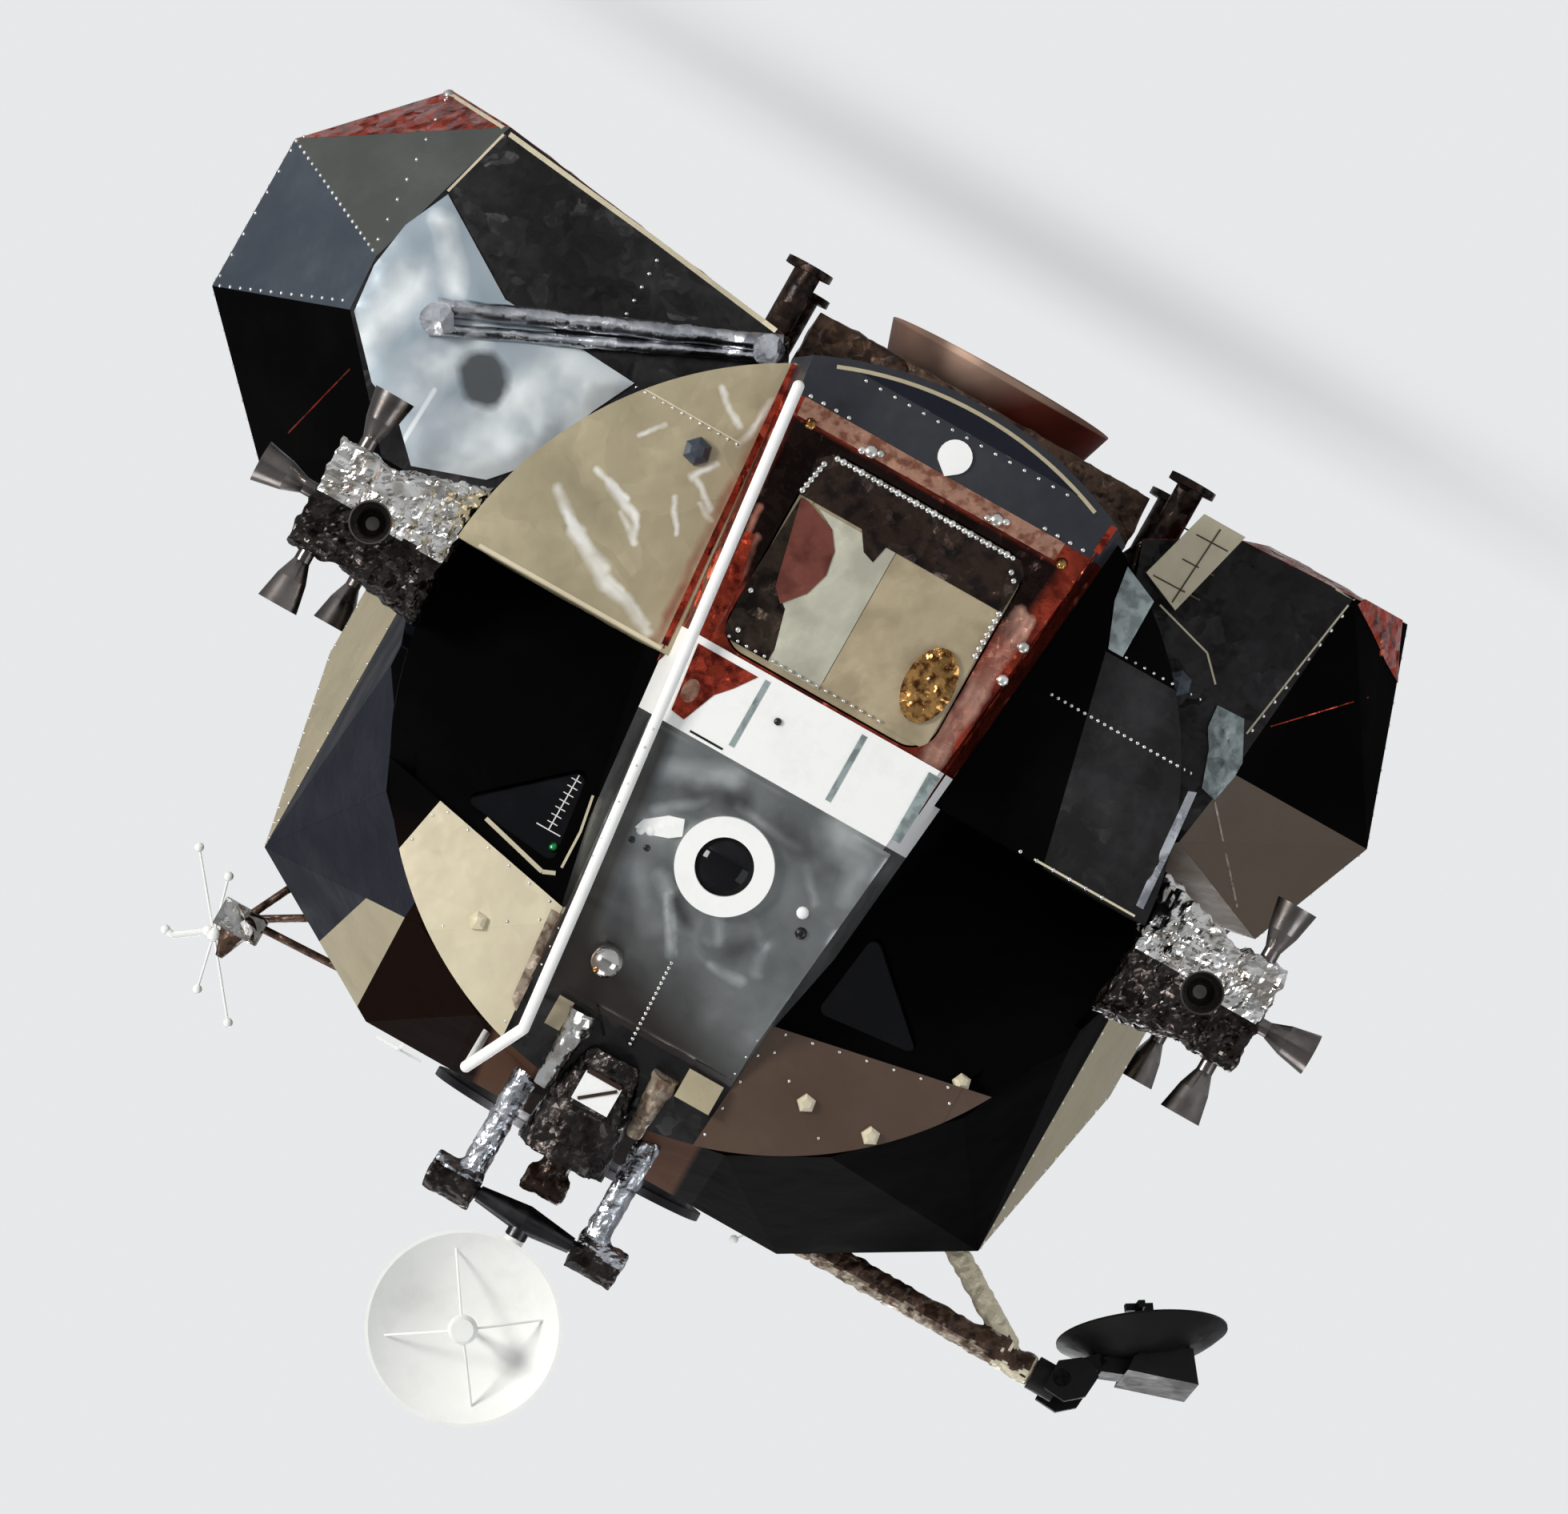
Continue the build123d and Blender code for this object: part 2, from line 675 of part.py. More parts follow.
dish_place = Plane(origin=(0, dish_y, dish_z), x_dir=(1, 0, 0), z_dir=(0, -1, 0))
radar_dish = dish_place * dish(dish_r, dish_depth, dish_skin)
feed_tip = dish_y - 190.0
radar_dish += rod((0, dish_y + dish_skin / 2, dish_z), (0, feed_tip, dish_z), 9)
radar_dish += rod((0, feed_tip - 12, dish_z), (0, feed_tip + 24, dish_z), 34, 46)
for turn in (125, 305, 35, 215):
    rim = (
        250 * math.cos(math.radians(turn)),
        dish_y - dish_depth * 0.62,
        dish_z + 250 * math.sin(math.radians(turn)),
    )
    radar_dish += rod(rim, (0, feed_tip, dish_z), 4)
collar_low = boss_top + 2.0
collar_high = boss_top + 44.0
dish_back_y = dish_y + 34.0
neck = rod((0, radar_y, collar_low), (0, radar_y, collar_high), 32)
neck += rod((0, radar_y, collar_high - 10), (0, dish_back_y + 26, dish_z), 24)
neck += rod((0, dish_y + 2, dish_z), (0, dish_back_y + 40, dish_z), 60)
neck -= rod((0, radar_y, collar_low - 10), (0, radar_y, pin_top + 1), trunnion_pin_r + running)
radar_dish += neck
keep("radar_dish", radar_dish)

# Handrail down the port edge of the nose, on short standoffs
rail_r = 18.0
rail_points = [
    (381, -1640, 2660), (285, -1800, 2470), (326, -1935, 2058), (512, -1950, 400),
]
rail = bent_rod(rail_points, rail_r)
rail += ball(rail_points[0], rail_r) + ball(rail_points[-1], rail_r)
standoff_r = 12.0
rail_feet = (
    (297, -1842, 2350), (328, -1935, 2040), (390, -1941, 1490), (450, -1946, 950), (505, -1950, 460),
)
for x, y, z in rail_feet:
    rail += rod((x, y, z), (x, drum_front, z), standoff_r)
rail += rod(rail_points[0], (381, -1400, 2500), standoff_r)
nose_solids = (
    skirt, hatch_frame, console, nose, nose_cap, cheek, brow, front_deck, fairing_port, drum_body,
    window_plate,
)
for solid in nose_solids:
    rail = rail - solid
rail = sorted(rail.solids(), key=lambda s: s.volume)[-1]
keep("handrail", Part() + rail)

# Telescope shroud in front of the radar, and two blocks beside it on the nose
shroud_low = (0, -1640, 2400)
shroud_high = (0, -1595, 2760)
shroud_r0 = 105.0
shroud_r1 = 150.0
shroud_skin = 12.0
shroud = rod(shroud_low, shroud_high, shroud_r0, shroud_r1)
shroud_mid = tuple(a + (b - a) * 0.35 for a, b in zip(shroud_low, shroud_high))
shroud_past = tuple(a + (b - a) * 1.2 for a, b in zip(shroud_low, shroud_high))
shroud -= rod(shroud_mid, shroud_past, shroud_r0, shroud_r1)
shroud += box(-61, 61, -1770, -1690, 2480, 2595)
shroud = shroud - nose_cap - front_deck - drum_body
shroud = Part() + sorted(shroud.solids(), key=lambda s: s.volume)[-1]
keep("telescope_shroud", shroud)
blocks = None
for x0, x1 in ((-324, -207), (190, 240)):
    block = box(x0, x1, -1760, -1690, 2330, 2425) - nose - nose_cap - rail
    blocks = block if blocks is None else blocks + block
keep("nose_blocks", blocks)

# Small fixed antennas: a ball on a bent post on the nose, and one behind the roof
omni_r = 52.0
omni_front = ball((167, -1850, 2172), omni_r) + rod((167, -1850, 2172), (167, -1700, 2210), 16)
omni_front = omni_front - nose - nose_cap
keep("omni_antenna_front", Part() + sorted(omni_front.solids(), key=lambda s: s.volume)[-1])
omni_rear = ball((-480, 1500, 2620), omni_r) + rod((-480, 1500, 2620), (-480, 1450, 2300), 16)
omni_rear = omni_rear - aft_bay
keep("omni_antenna_rear", omni_rear)

# Steerable antenna on the starboard boom. Its first axis lies along the boom.
boom_y = -400.0
boom_z = 2674.0
boom_root_x = -760.0
boom_tip_x = -1628.0
boom_r = 46.0
boom_head_r = 50.0
brace_r = 36.0
boom_pin_r = 18.0
gimbal_near_x = boom_tip_x - 2.0
gimbal_far_x = -1720.0
boom = rod((boom_root_x, boom_y, boom_z), (boom_tip_x + 20, boom_y, boom_z), boom_r)
boom += rod((-1150, boom_y, 2410), (-1530, boom_y, 2640), brace_r)
boom += rod((-1580, boom_y, boom_z), (boom_tip_x, boom_y, boom_z), boom_head_r)
boom += rod((-1600, boom_y, boom_z), (gimbal_far_x + 20, boom_y, boom_z), boom_pin_r)
starboard_shoulder = flip(shoulder_port)
boom = boom - starboard_shoulder - drum_clear
boom = Part() + sorted(boom.solids(), key=lambda s: s.volume)[-1]
keep("s_band_boom", boom)

# The second axis crosses the boom. Both are drawn with the dish hanging and then turned aft.
hang_turn = 24.0
hang = Pos(0, boom_y, boom_z) * Rot(hang_turn, 0, 0) * Pos(0, -boom_y, -boom_z)
swing_x = -1762.0
swing_z = 2594.0
fork_half = 54.0
fork_skin = 12.0
fork_r = 24.0
swing_r = 12.0
gimbal = rod((gimbal_near_x, boom_y, boom_z), (gimbal_far_x, boom_y, boom_z), boom_head_r)
cross_x = gimbal_far_x + 6.0
cross_z = boom_z - 6.0
gimbal += rod((cross_x, boom_y - 66, cross_z), (cross_x, boom_y + 66, cross_z), 30)
for side in (-1, 1):
    y_in = boom_y + side * fork_half
    y_out = boom_y + side * (fork_half + fork_skin)
    eye = rod((swing_x, y_in, swing_z), (swing_x, y_out, swing_z), fork_r)
    arm = hull([
        (x, y, z) for y in (y_in, y_out)
        for x, z in ((gimbal_far_x + 30, boom_z + 16), (gimbal_far_x + 30, boom_z - 30),
                     (swing_x + 16, swing_z - 14), (swing_x - 16, swing_z + 14),
                     (gimbal_far_x - 24, boom_z + 16))
    ])
    gimbal += eye + arm
swing_reach = fork_half + 2.0
gimbal += rod(
    (swing_x, boom_y - swing_reach, swing_z), (swing_x, boom_y + swing_reach, swing_z), swing_r
)
gimbal -= rod(
    (gimbal_near_x + 5, boom_y, boom_z), (gimbal_far_x + 19, boom_y, boom_z), boom_pin_r + running
)
keep("s_band_gimbal", hang * gimbal)

s_dish_r = 300.0
s_dish_depth = 100.0
s_dish_skin = 7.0
s_dish_x = -1893.0
s_dish_drop = 297.0
s_dish_tilt = 37.7
s_up = Vector(math.cos(math.radians(s_dish_tilt)), 0, math.sin(math.radians(s_dish_tilt)))
s_out = Vector(math.sin(math.radians(s_dish_tilt)), 0, -math.cos(math.radians(s_dish_tilt)))
s_vertex = Vector(s_dish_x, boom_y, boom_z - s_dish_drop) - s_out * s_dish_depth
s_place = Plane(origin=s_vertex, x_dir=s_up, z_dir=s_out)
s_curve = (s_dish_r * s_dish_r + s_dish_depth * s_dish_depth) / (2 * s_dish_depth)
swing_local = s_place.to_local_coords(Vector(swing_x, boom_y, swing_z))
lug_half = 40.0
back = Pos(swing_local.X - 2, 0, 34) * Box(70, 2 * lug_half, 60)
back += Pos(swing_local.X, 0, swing_local.Z) * Rot(90, 0, 0) * Cylinder(26, 2 * lug_half)
back += Pos(-70, 0, -22) * Box(300, 190, 84)
back += Cylinder(80, 60)
back = back - Pos(0, 0, s_curve) * Sphere(s_curve - s_dish_skin / 2)
bore = Pos(swing_local.X, 0, swing_local.Z) * Rot(90, 0, 0) * Cylinder(swing_r + running, 200)
s_dish = dish(s_dish_r, s_dish_depth, s_dish_skin) + back - bore
s_dish += Pos(0, 0, s_dish_skin / 2) * Cylinder(12, 205, align=low)
s_dish += Pos(0, 0, 205) * Box(110, 22, 24)
s_dish += Pos(0, 0, 205) * Box(22, 110, 24)
keep("s_band_dish", hang * (s_place * s_dish))

# Inflight antennas: crossed rods with balls on three-legged brackets
# Rods of the port one, columns: tip from the hub in x, y, z. The rear one mirrors them.
vhf_y = -400.0
vhf_hub = (1245, vhf_y, 2680)
vhf_legs = [(858, vhf_y, 2640), (1040, vhf_y - 40, 2540), (1150, vhf_y + 60, 2480)]
vhf_rods = [(-125, 0, 282), (14, -60, 246), (228, 40, -155), (98, -60, -122), (146, 80, 210)]
vhf_leg_r = 13.0
vhf_rod_r = 5.0
vhf_ball_r = 17.0


def vhf_antenna(hub, legs, tips, carrier):
    """Hub on legs, with thin rods that end in balls."""
    shape = rod(hub, (hub[0] + 20, hub[1], hub[2] + 120), 52, 14)
    shape += box(hub[0] - 60, hub[0] + 55, hub[1] - 45, hub[1] + 45, hub[2] - 45, hub[2] + 40)
    root = (hub[0] + 45, hub[1], hub[2] + 50)
    for dx, dy, dz in tips:
        tip = (root[0] + dx, root[1] + dy, root[2] + dz)
        shape += rod(root, tip, vhf_rod_r) + ball(tip, vhf_ball_r)
    shape += ball(root, 20)
    for leg in legs:
        shape += rod(leg, (hub[0], hub[1], hub[2] - 20), vhf_leg_r)
    for solid in carrier:
        shape = shape - solid
    return Part() + sorted(shape.solids(), key=lambda s: s.volume)[-1]


vhf_port = vhf_antenna(vhf_hub, vhf_legs, vhf_rods, [shoulder_port, drum_clear])
keep("vhf_antenna_port", vhf_port)
rear_hub = (-760, 1420, 2560)
rear_legs = [(-860, 1300, 2300), (-600, 1420, 2300), (-860, 1560, 2200)]
vhf_rear = vhf_antenna(rear_hub, rear_legs, [(-x, y, z) for x, y, z in vhf_rods], [aft_bay])
keep("vhf_antenna_rear", vhf_rear)

# Docking target, a disc with an upright cross, on the roof beside the tunnel
target_x = 610.0
target_y = -380.0
target_r = 110.0
target = Pos(target_x, target_y, roof_z) * Cylinder(target_r, 8, align=low)
target += box(target_x - 5, target_x + 5, target_y - 5, target_y + 5, roof_z + 4, roof_z + 130)
target += box(target_x - 80, target_x + 80, target_y - 5, target_y + 5, roof_z + 120, roof_z + 130)
target += box(target_x - 5, target_x + 5, target_y - 80, target_y + 80, roof_z + 120, roof_z + 130)
keep("docking_target", target)


for name, shape in parts.items():
    export_step(shape, f"parts/{name}.step")
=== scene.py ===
import bmesh
import bpy
import json
import math
from mathutils import Matrix, Vector, noise
from mathutils.bvhtree import BVHTree


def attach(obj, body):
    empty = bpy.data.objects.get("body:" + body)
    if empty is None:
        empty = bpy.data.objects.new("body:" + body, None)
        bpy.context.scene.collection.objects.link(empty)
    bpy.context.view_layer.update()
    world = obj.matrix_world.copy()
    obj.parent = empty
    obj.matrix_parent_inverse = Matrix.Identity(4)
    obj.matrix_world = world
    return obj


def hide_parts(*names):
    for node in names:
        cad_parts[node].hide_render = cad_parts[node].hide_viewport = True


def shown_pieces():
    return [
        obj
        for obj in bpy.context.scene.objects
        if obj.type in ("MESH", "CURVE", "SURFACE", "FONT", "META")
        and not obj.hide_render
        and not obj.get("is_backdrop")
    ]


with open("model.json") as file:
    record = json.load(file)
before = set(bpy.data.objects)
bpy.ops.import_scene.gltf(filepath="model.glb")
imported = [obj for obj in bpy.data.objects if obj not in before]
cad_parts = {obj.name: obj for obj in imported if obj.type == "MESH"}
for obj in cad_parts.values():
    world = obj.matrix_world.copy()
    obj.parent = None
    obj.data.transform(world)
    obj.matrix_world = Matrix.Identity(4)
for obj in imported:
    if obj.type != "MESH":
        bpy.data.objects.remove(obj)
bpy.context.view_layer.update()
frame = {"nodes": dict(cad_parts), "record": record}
nodes = frame["nodes"]
body_names = {n: b for b, ns in frame["record"]["behaviour"]["bodies"].items() for n in ns}

# Without a seed the offsets of noise_vector follow the clock, and each run creases differently
crease_seed = 1795703138
noise.seed_set(crease_seed)

# Height of the drum's axis, and the eye that the photo was taken from
drum_z = 1.384
view_from = 27.7
view_z = 1.5
eye = Vector((0, -view_from, view_z))

# Panels: lift over the solid, bare rim and smallest facet in square metres. Rivets: radius.
panel_lift = 0.0015
panel_inset = 0.006
least_facet = 0.012
rivet_radius = 0.0055

# Angle in radians that rounds all edges of a small head
round_head = 3.0


def true_point(x, z, y):
    """Where a place measured on the upright photo lies at the depth y."""
    near = (view_from + y) / view_from
    return Vector((x * near, y, view_z + (z - view_z) * near))


# Materials
class Look:
    """A material under construction, with short calls for its nodes."""

    def __init__(self, name, colour, rough, metal=0.0, specular=0.5):
        self.mat = bpy.data.materials.new(name)
        self.mat.use_nodes = True
        self.tree = self.mat.node_tree
        self.bsdf = self.tree.nodes["Principled BSDF"]
        self.bsdf.inputs["Base Color"].default_value = (*colour, 1)
        self.bsdf.inputs["Roughness"].default_value = rough
        self.bsdf.inputs["Metallic"].default_value = metal
        self.bsdf.inputs["Specular IOR Level"].default_value = specular
        self.place = self.tree.nodes.new("ShaderNodeTexCoord").outputs["Object"]
        self.normal = None
        self.seen = None
        self.bent = None
        self.uneven = None

    def add(self, kind, **sockets):
        node = self.tree.nodes.new(kind)
        for key, value in sockets.items():
            self.put(node.inputs[key.replace("_", " ")], value)
        return node

    def put(self, socket, value):
        """Links a socket or sets its value."""
        if isinstance(value, bpy.types.NodeSocket):
            self.tree.links.new(value, socket)
        else:
            socket.default_value = value

    def math(self, kind, a, b=0.0):
        node = self.tree.nodes.new("ShaderNodeMath")
        node.operation = kind
        self.put(node.inputs[0], a)
        self.put(node.inputs[1], b)
        return node.outputs[0]

    def vector(self, kind, a, b=(0, 0, 0)):
        node = self.tree.nodes.new("ShaderNodeVectorMath")
        node.operation = kind
        self.put(node.inputs[0], a)
        if kind == "SCALE":
            self.put(node.inputs["Scale"], b)
        elif kind not in ("NORMALIZE", "LENGTH"):
            self.put(node.inputs[1], b)
        return node.outputs["Value" if kind in ("LENGTH", "DOT_PRODUCT") else "Vector"]

    def noise(self, scale, detail=4.0, at=None, rough=0.5):
        node = self.add("ShaderNodeTexNoise", Scale=scale, Detail=detail, Roughness=rough)
        self.put(node.inputs["Vector"], at or self.place)
        return node

    def ramp(self, value, low, high, to_low=0.0, to_high=1.0):
        """Maps low to high onto to_low to to_high, held at both ends."""
        node = self.tree.nodes.new("ShaderNodeMapRange")
        for key, item in zip(("Value", "From Min", "From Max", "To Min", "To Max"),
                             (value, low, high, to_low, to_high)):
            self.put(node.inputs[key], item)
        return node.outputs[0]

    def photo(self):
        """Place on the upright photo, x across and y up, that a point lies behind."""
        if self.seen is None:
            part = self.tree.nodes.new("ShaderNodeSeparateXYZ")
            self.put(part.inputs[0], self.place)
            near = self.math("ADD", self.math("DIVIDE", part.outputs["Y"], view_from), 1.0)
            both = self.tree.nodes.new("ShaderNodeCombineXYZ")
            high = self.math("DIVIDE", self.math("SUBTRACT", part.outputs["Z"], view_z), near)
            self.put(both.inputs["X"], self.math("DIVIDE", part.outputs["X"], near))
            self.put(both.inputs["Y"], self.math("ADD", high, view_z))
            self.seen = both.outputs[0]
        return self.seen

    def along(self, a, b, width, soft=2.0, at=None):
        """1 close to the line between two places on the photo and 0 away from it."""
        run = (b[0] - a[0], b[1] - a[1], 0)
        long = max(run[0] ** 2 + run[1] ** 2, 1e-9)
        rel = self.vector("SUBTRACT", at or self.photo(), (a[0], a[1], 0))
        share = self.math("DIVIDE", self.vector("DOT_PRODUCT", rel, run), long)
        share = self.ramp(share, 0.0, 1.0)
        off = self.vector("SUBTRACT", rel, self.vector("SCALE", run, share))
        return self.ramp(self.vector("LENGTH", off), width * soft, width)

    def fold(self, a, b, width, colour, amount=0.9):
        """Paints a colour along a wavering uneven crease between two places on the photo, mostly as
        painted highlights and painted shade along creases.
        """
        if self.bent is None:
            sway = self.vector("SUBTRACT", self.noise(9.0, 3.0).outputs["Color"], (0.5, 0.5, 0.5))
            self.bent = self.vector("ADD", self.photo(), self.vector("SCALE", sway, 0.05))
            self.uneven = self.ramp(self.noise(7.0, 2.0).outputs["Fac"], 0.35, 0.6, 0.3, 1.0)
        mask = self.along(a, b, width * 0.3, 6.0, self.bent)
        self.tint(self.within(mask, self.uneven, amount), colour)

    def beyond(self, a, b, soft):
        """Rises from 0 to 1 across the line from a to b, towards its left side."""
        run = Vector((b[0] - a[0], b[1] - a[1])).normalized()
        rel = self.vector("SUBTRACT", self.photo(), (a[0], a[1], 0))
        return self.ramp(self.vector("DOT_PRODUCT", rel, (-run.y, run.x, 0)), -soft, soft)

    def within(self, *masks):
        """Product of several masks."""
        found = masks[0]
        for mask in masks[1:]:
            found = self.math("MULTIPLY", found, mask)
        return found

    def tint(self, factor, colour):
        """Mixes a second colour into the base where factor is high."""
        node = self.tree.nodes.new("ShaderNodeMix")
        node.data_type = "RGBA"
        base = self.bsdf.inputs["Base Color"]
        before = base.links[0].from_socket if base.links else base.default_value[:]
        self.put(node.inputs["Factor"], factor)
        self.put(node.inputs["A"], before)
        self.put(node.inputs["B"], (*colour, 1))
        self.tree.links.new(node.outputs["Result"], base)

    def wrinkle(self, fold, tilt, warp=0.6):
        """Small flat creased areas of that size, each tilted its own way, as on crumpled foil."""
        bend = self.noise(0.7 / fold, 2.0).outputs["Color"]
        bend = self.vector("SCALE", self.vector("SUBTRACT", bend, (0.5, 0.5, 0.5)), fold * warp * 2)
        where = self.vector("ADD", self.place, bend)
        normal = self.normal or self.tree.nodes.new("ShaderNodeNewGeometry").outputs["Normal"]
        for scale, share in ((1.0 / fold, 1.0), (2.7 / fold, 0.55)):
            cells = self.add("ShaderNodeTexVoronoi", Scale=scale)
            self.put(cells.inputs["Vector"], where)
            lean = self.vector("SUBTRACT", cells.outputs["Color"], (0.5, 0.5, 0.5))
            normal = self.vector("ADD", normal, self.vector("SCALE", lean, tilt * share))
        self.normal = self.vector("NORMALIZE", normal)
        self.put(self.bsdf.inputs["Normal"], self.normal)
        return where

    def bump(self, height, strength, distance):
        """Bumps by a height, over what bends the normal so far."""
        node = self.add("ShaderNodeBump", Strength=strength, Distance=distance, Height=height)
        if self.normal:
            self.put(node.inputs["Normal"], self.normal)
        self.normal = node.outputs["Normal"]
        self.put(self.bsdf.inputs["Normal"], self.normal)

    def dents(self, scale, strength, distance, detail=3.0, rough=0.5):
        """Bumps from a noise of that scale."""
        self.bump(self.noise(scale, detail, rough=rough).outputs["Fac"], strength, distance)

    def cloud(self, colour, scale, detail, low, high, amount=1.0, rough=0.5):
        """Second colour in soft areas, where a noise of that scale rises from low to high."""
        patch = self.noise(scale, detail, rough=rough).outputs["Fac"]
        self.tint(self.ramp(patch, low, high, 0.0, amount), colour)

    def roughen(self, scale, low, high):
        """Roughness that wanders between two values."""
        patch = self.noise(scale, 3.0).outputs["Fac"]
        self.put(self.bsdf.inputs["Roughness"], self.ramp(patch, 0.3, 0.7, low, high))

    def outside(self, mask):
        """What a mask leaves out."""
        return self.math("SUBTRACT", 1.0, mask)


def foil(name, colour, second, fold, tilt, least, most, metal=1.0):
    """Crumpled metal film in two colours."""
    look = Look(name, colour, least, metal)
    look.wrinkle(fold, tilt)
    look.dents(1.1 / fold, 0.3, fold * 0.3, 4.0)
    look.roughen(9.0, least, most)
    look.cloud(second, 1.3 / fold, 3.0, 0.45, 0.62)
    return look.mat


def shield(name, colour, second, rough, metal, dent, fold, specular=0.5):
    """Thin flat metal shield, slightly dented and dusty."""
    look = Look(name, colour, rough, metal, specular)
    look.wrinkle(fold, dent, warp=0.9)
    look.dents(5.0, 0.5, 0.02)
    look.roughen(6.0, rough - 0.08, rough + 0.12)
    look.cloud(second, 2.6, 5.0, 0.45, 0.75, 0.75, 0.65)
    look.cloud(second, 90.0, 2.0, 0.72, 0.8, 0.35)
    return look.mat


def paint(name, colour, rough=0.5, grime=(0.45, 0.42, 0.38), amount=0.35):
    """Flat paint with light grime and a fine grain."""
    look = Look(name, colour, rough)
    look.dents(160.0, 0.12, 0.001)
    look.roughen(14.0, rough - 0.08, rough + 0.1)
    look.cloud(grime, 7.0, 6.0, 0.5, 0.78, amount, 0.7)
    return look.mat


def metal(name, colour, rough=0.3, grain=60.0, stain_and_glint=None):
    """Turned or cast metal with stains."""
    look = Look(name, colour, rough, 1.0)
    look.dents(grain, 0.15, 0.002, 4.0)
    look.roughen(18.0, rough - 0.08, rough + 0.14)
    look.cloud(stain_and_glint or tuple(c * 0.45 for c in colour), 9.0, 5.0, 0.45, 0.7, 0.8)
    return look.mat


def glass(name, colour, rough):
    """Dark glass with a thin coat and a few smears."""
    look = Look(name, colour, rough, 0.0, 0.12)
    look.bsdf.inputs["Coat Weight"].default_value = 0.04
    look.bsdf.inputs["Coat Roughness"].default_value = 0.03
    smear = look.noise(11.0, 5.0).outputs["Fac"]
    look.tint(look.ramp(smear, 0.5, 0.8, 0, 0.4), tuple(c * 2.2 + 0.01 for c in colour))
    look.put(look.bsdf.inputs["Roughness"], look.ramp(smear, 0.4, 0.8, rough, rough + 0.14))
    return look.mat


def plain_black():
    """Matte black, brown-tinted on the top left as painted shade on tan film, and brown beside the
    telescope.
    """
    look = Look("black_shield", (0.0020, 0.0019, 0.0020), 0.75, 0.0, 0.008)
    look.wrinkle(0.3, 0.03, warp=0.9)
    look.dents(5.0, 0.4, 0.02)
    look.cloud((0.0045, 0.004, 0.0038), 2.6, 5.0, 0.45, 0.75, 0.7, 0.65)
    # Painted shade: a brown tint near the top stands for tan film in shade.
    starboard = look.beyond((-0.25, 2.9), (-0.25, 2.0), 0.1)
    top = look.beyond((-1.2, 2.2), (0, 2.2), 0.1)
    look.tint(look.within(starboard, top, 0.8), (0.010, 0.0045, 0.003))
    for a, b in (((-0.285, 2.76), (-0.285, 2.5)), ((0.27, 2.76), (0.31, 2.5))):
        look.tint(look.along(a, b, 0.075, 1.3), (0.085, 0.042, 0.026))
    return look.mat


def nose_film():
    """Bare sheet metal, bright below, with painted highlights along folds, painted shade in creases, and
    painted shade darkening it to brown towards the top and beside the handrail.
    """
    look = Look("bare_sheet", (0.29, 0.305, 0.305), 0.3, 0.8)
    look.wrinkle(0.25, 0.05, warp=0.9)
    look.dents(4.0, 0.5, 0.02)
    look.roughen(6.0, 0.22, 0.42)
    look.cloud((0.16, 0.168, 0.168), 3.2, 4.0, 0.42, 0.70, 0.9, 0.6)
    # Painted highlights along the folds.
    painted_highlight = (0.74, 0.78, 0.78)
    for a, b, wide, amount in (
        ((-0.42, 1.50), (-0.27, 1.50), 0.055, 0.9), ((0.12, 1.51), (0.32, 1.60), 0.030, 0.7),
        ((-0.39, 1.66), (-0.37, 1.58), 0.030, 0.6), ((0.012, 2.092), (0.113, 1.935), 0.014, 1.0),
        ((0.113, 1.935), (0.150, 1.90), 0.022, 0.8), ((0.12, 2.04), (0.24, 1.90), 0.035, 0.45),
        ((-0.34, 2.22), (-0.20, 2.21), 0.035, 0.4), ((-0.25, 2.01), (-0.23, 1.93), 0.016, 0.6),
        ((-0.22, 2.06), (-0.12, 2.07), 0.014, 0.6), ((-0.10, 1.99), (-0.07, 1.93), 0.014, 0.5),
        ((-0.31, 1.73), (-0.23, 1.64), 0.012, 0.7), ((-0.17, 1.60), (0.06, 1.575), 0.012, 0.6),
        ((0.16, 1.62), (0.28, 1.72), 0.014, 0.7), ((0.15, 1.76), (0.30, 1.79), 0.045, 0.9),
    ):
        look.fold(a, b, wide, painted_highlight, amount * 0.75)
    # Painted shade in dark creases.
    for a, b, wide in (((-0.28, 1.63), (-0.10, 1.56), 0.035), ((0.05, 1.56), (0.20, 1.62), 0.03),
                       ((-0.20, 1.95), (-0.16, 1.99), 0.03), ((0.02, 1.99), (0.08, 1.94), 0.02)):
        look.fold(a, b, wide, (0.05, 0.05, 0.05), 0.7)
    # Painted shade: darker towards the top and in a band beside the handrail.
    look.tint(look.beyond((-0.37, 2.30), (0.32, 2.06), 0.13), (0.050, 0.042, 0.038))
    rail_shade = look.along((0.30, 2.35), (0.40, 1.50), 0.035, 2.2)
    look.tint(look.within(rail_shade, 0.8), (0.05, 0.045, 0.04))
    return look.mat


def bay_film():
    """Pale satin film on the fuel bay's front, with painted highlights along soft folds and a dent shown
    only by a grey patch of painted shade.
    """
    look = Look("white_foil", (0.36, 0.43, 0.49), 0.32, 0.4)
    look.dents(2.4, 0.7, 0.06, 1.5, 0.4)
    look.roughen(5.0, 0.28, 0.44)
    look.cloud((0.62, 0.69, 0.74), 2.1, 1.5, 0.46, 0.66, 0.7)
    # Painted highlights along soft folds.
    painted_highlight = (0.90, 0.95, 0.97)
    for a, b, wide in (((1.24, 1.06), (1.10, 0.66), 0.13), ((1.42, 1.05), (1.20, 0.98), 0.10),
                       ((1.37, 0.92), (1.24, 0.62), 0.05), ((1.62, 0.90), (1.56, 0.70), 0.06),
                       ((1.84, 0.92), (1.78, 0.62), 0.05), ((1.66, 0.58), (1.80, 0.42), 0.03)):
        look.fold(a, b, wide, painted_highlight, 0.95)
    look.tint(look.along((1.566, 1.14), (1.558, 0.90), 0.004, 2.6), (0.86, 0.90, 0.94))
    # Painted shade: the grey patch of a dent.
    look.tint(look.along((1.425, 0.81), (1.455, 0.775), 0.060, 1.5, look.bent), (0.10, 0.11, 0.12))
    return look.mat


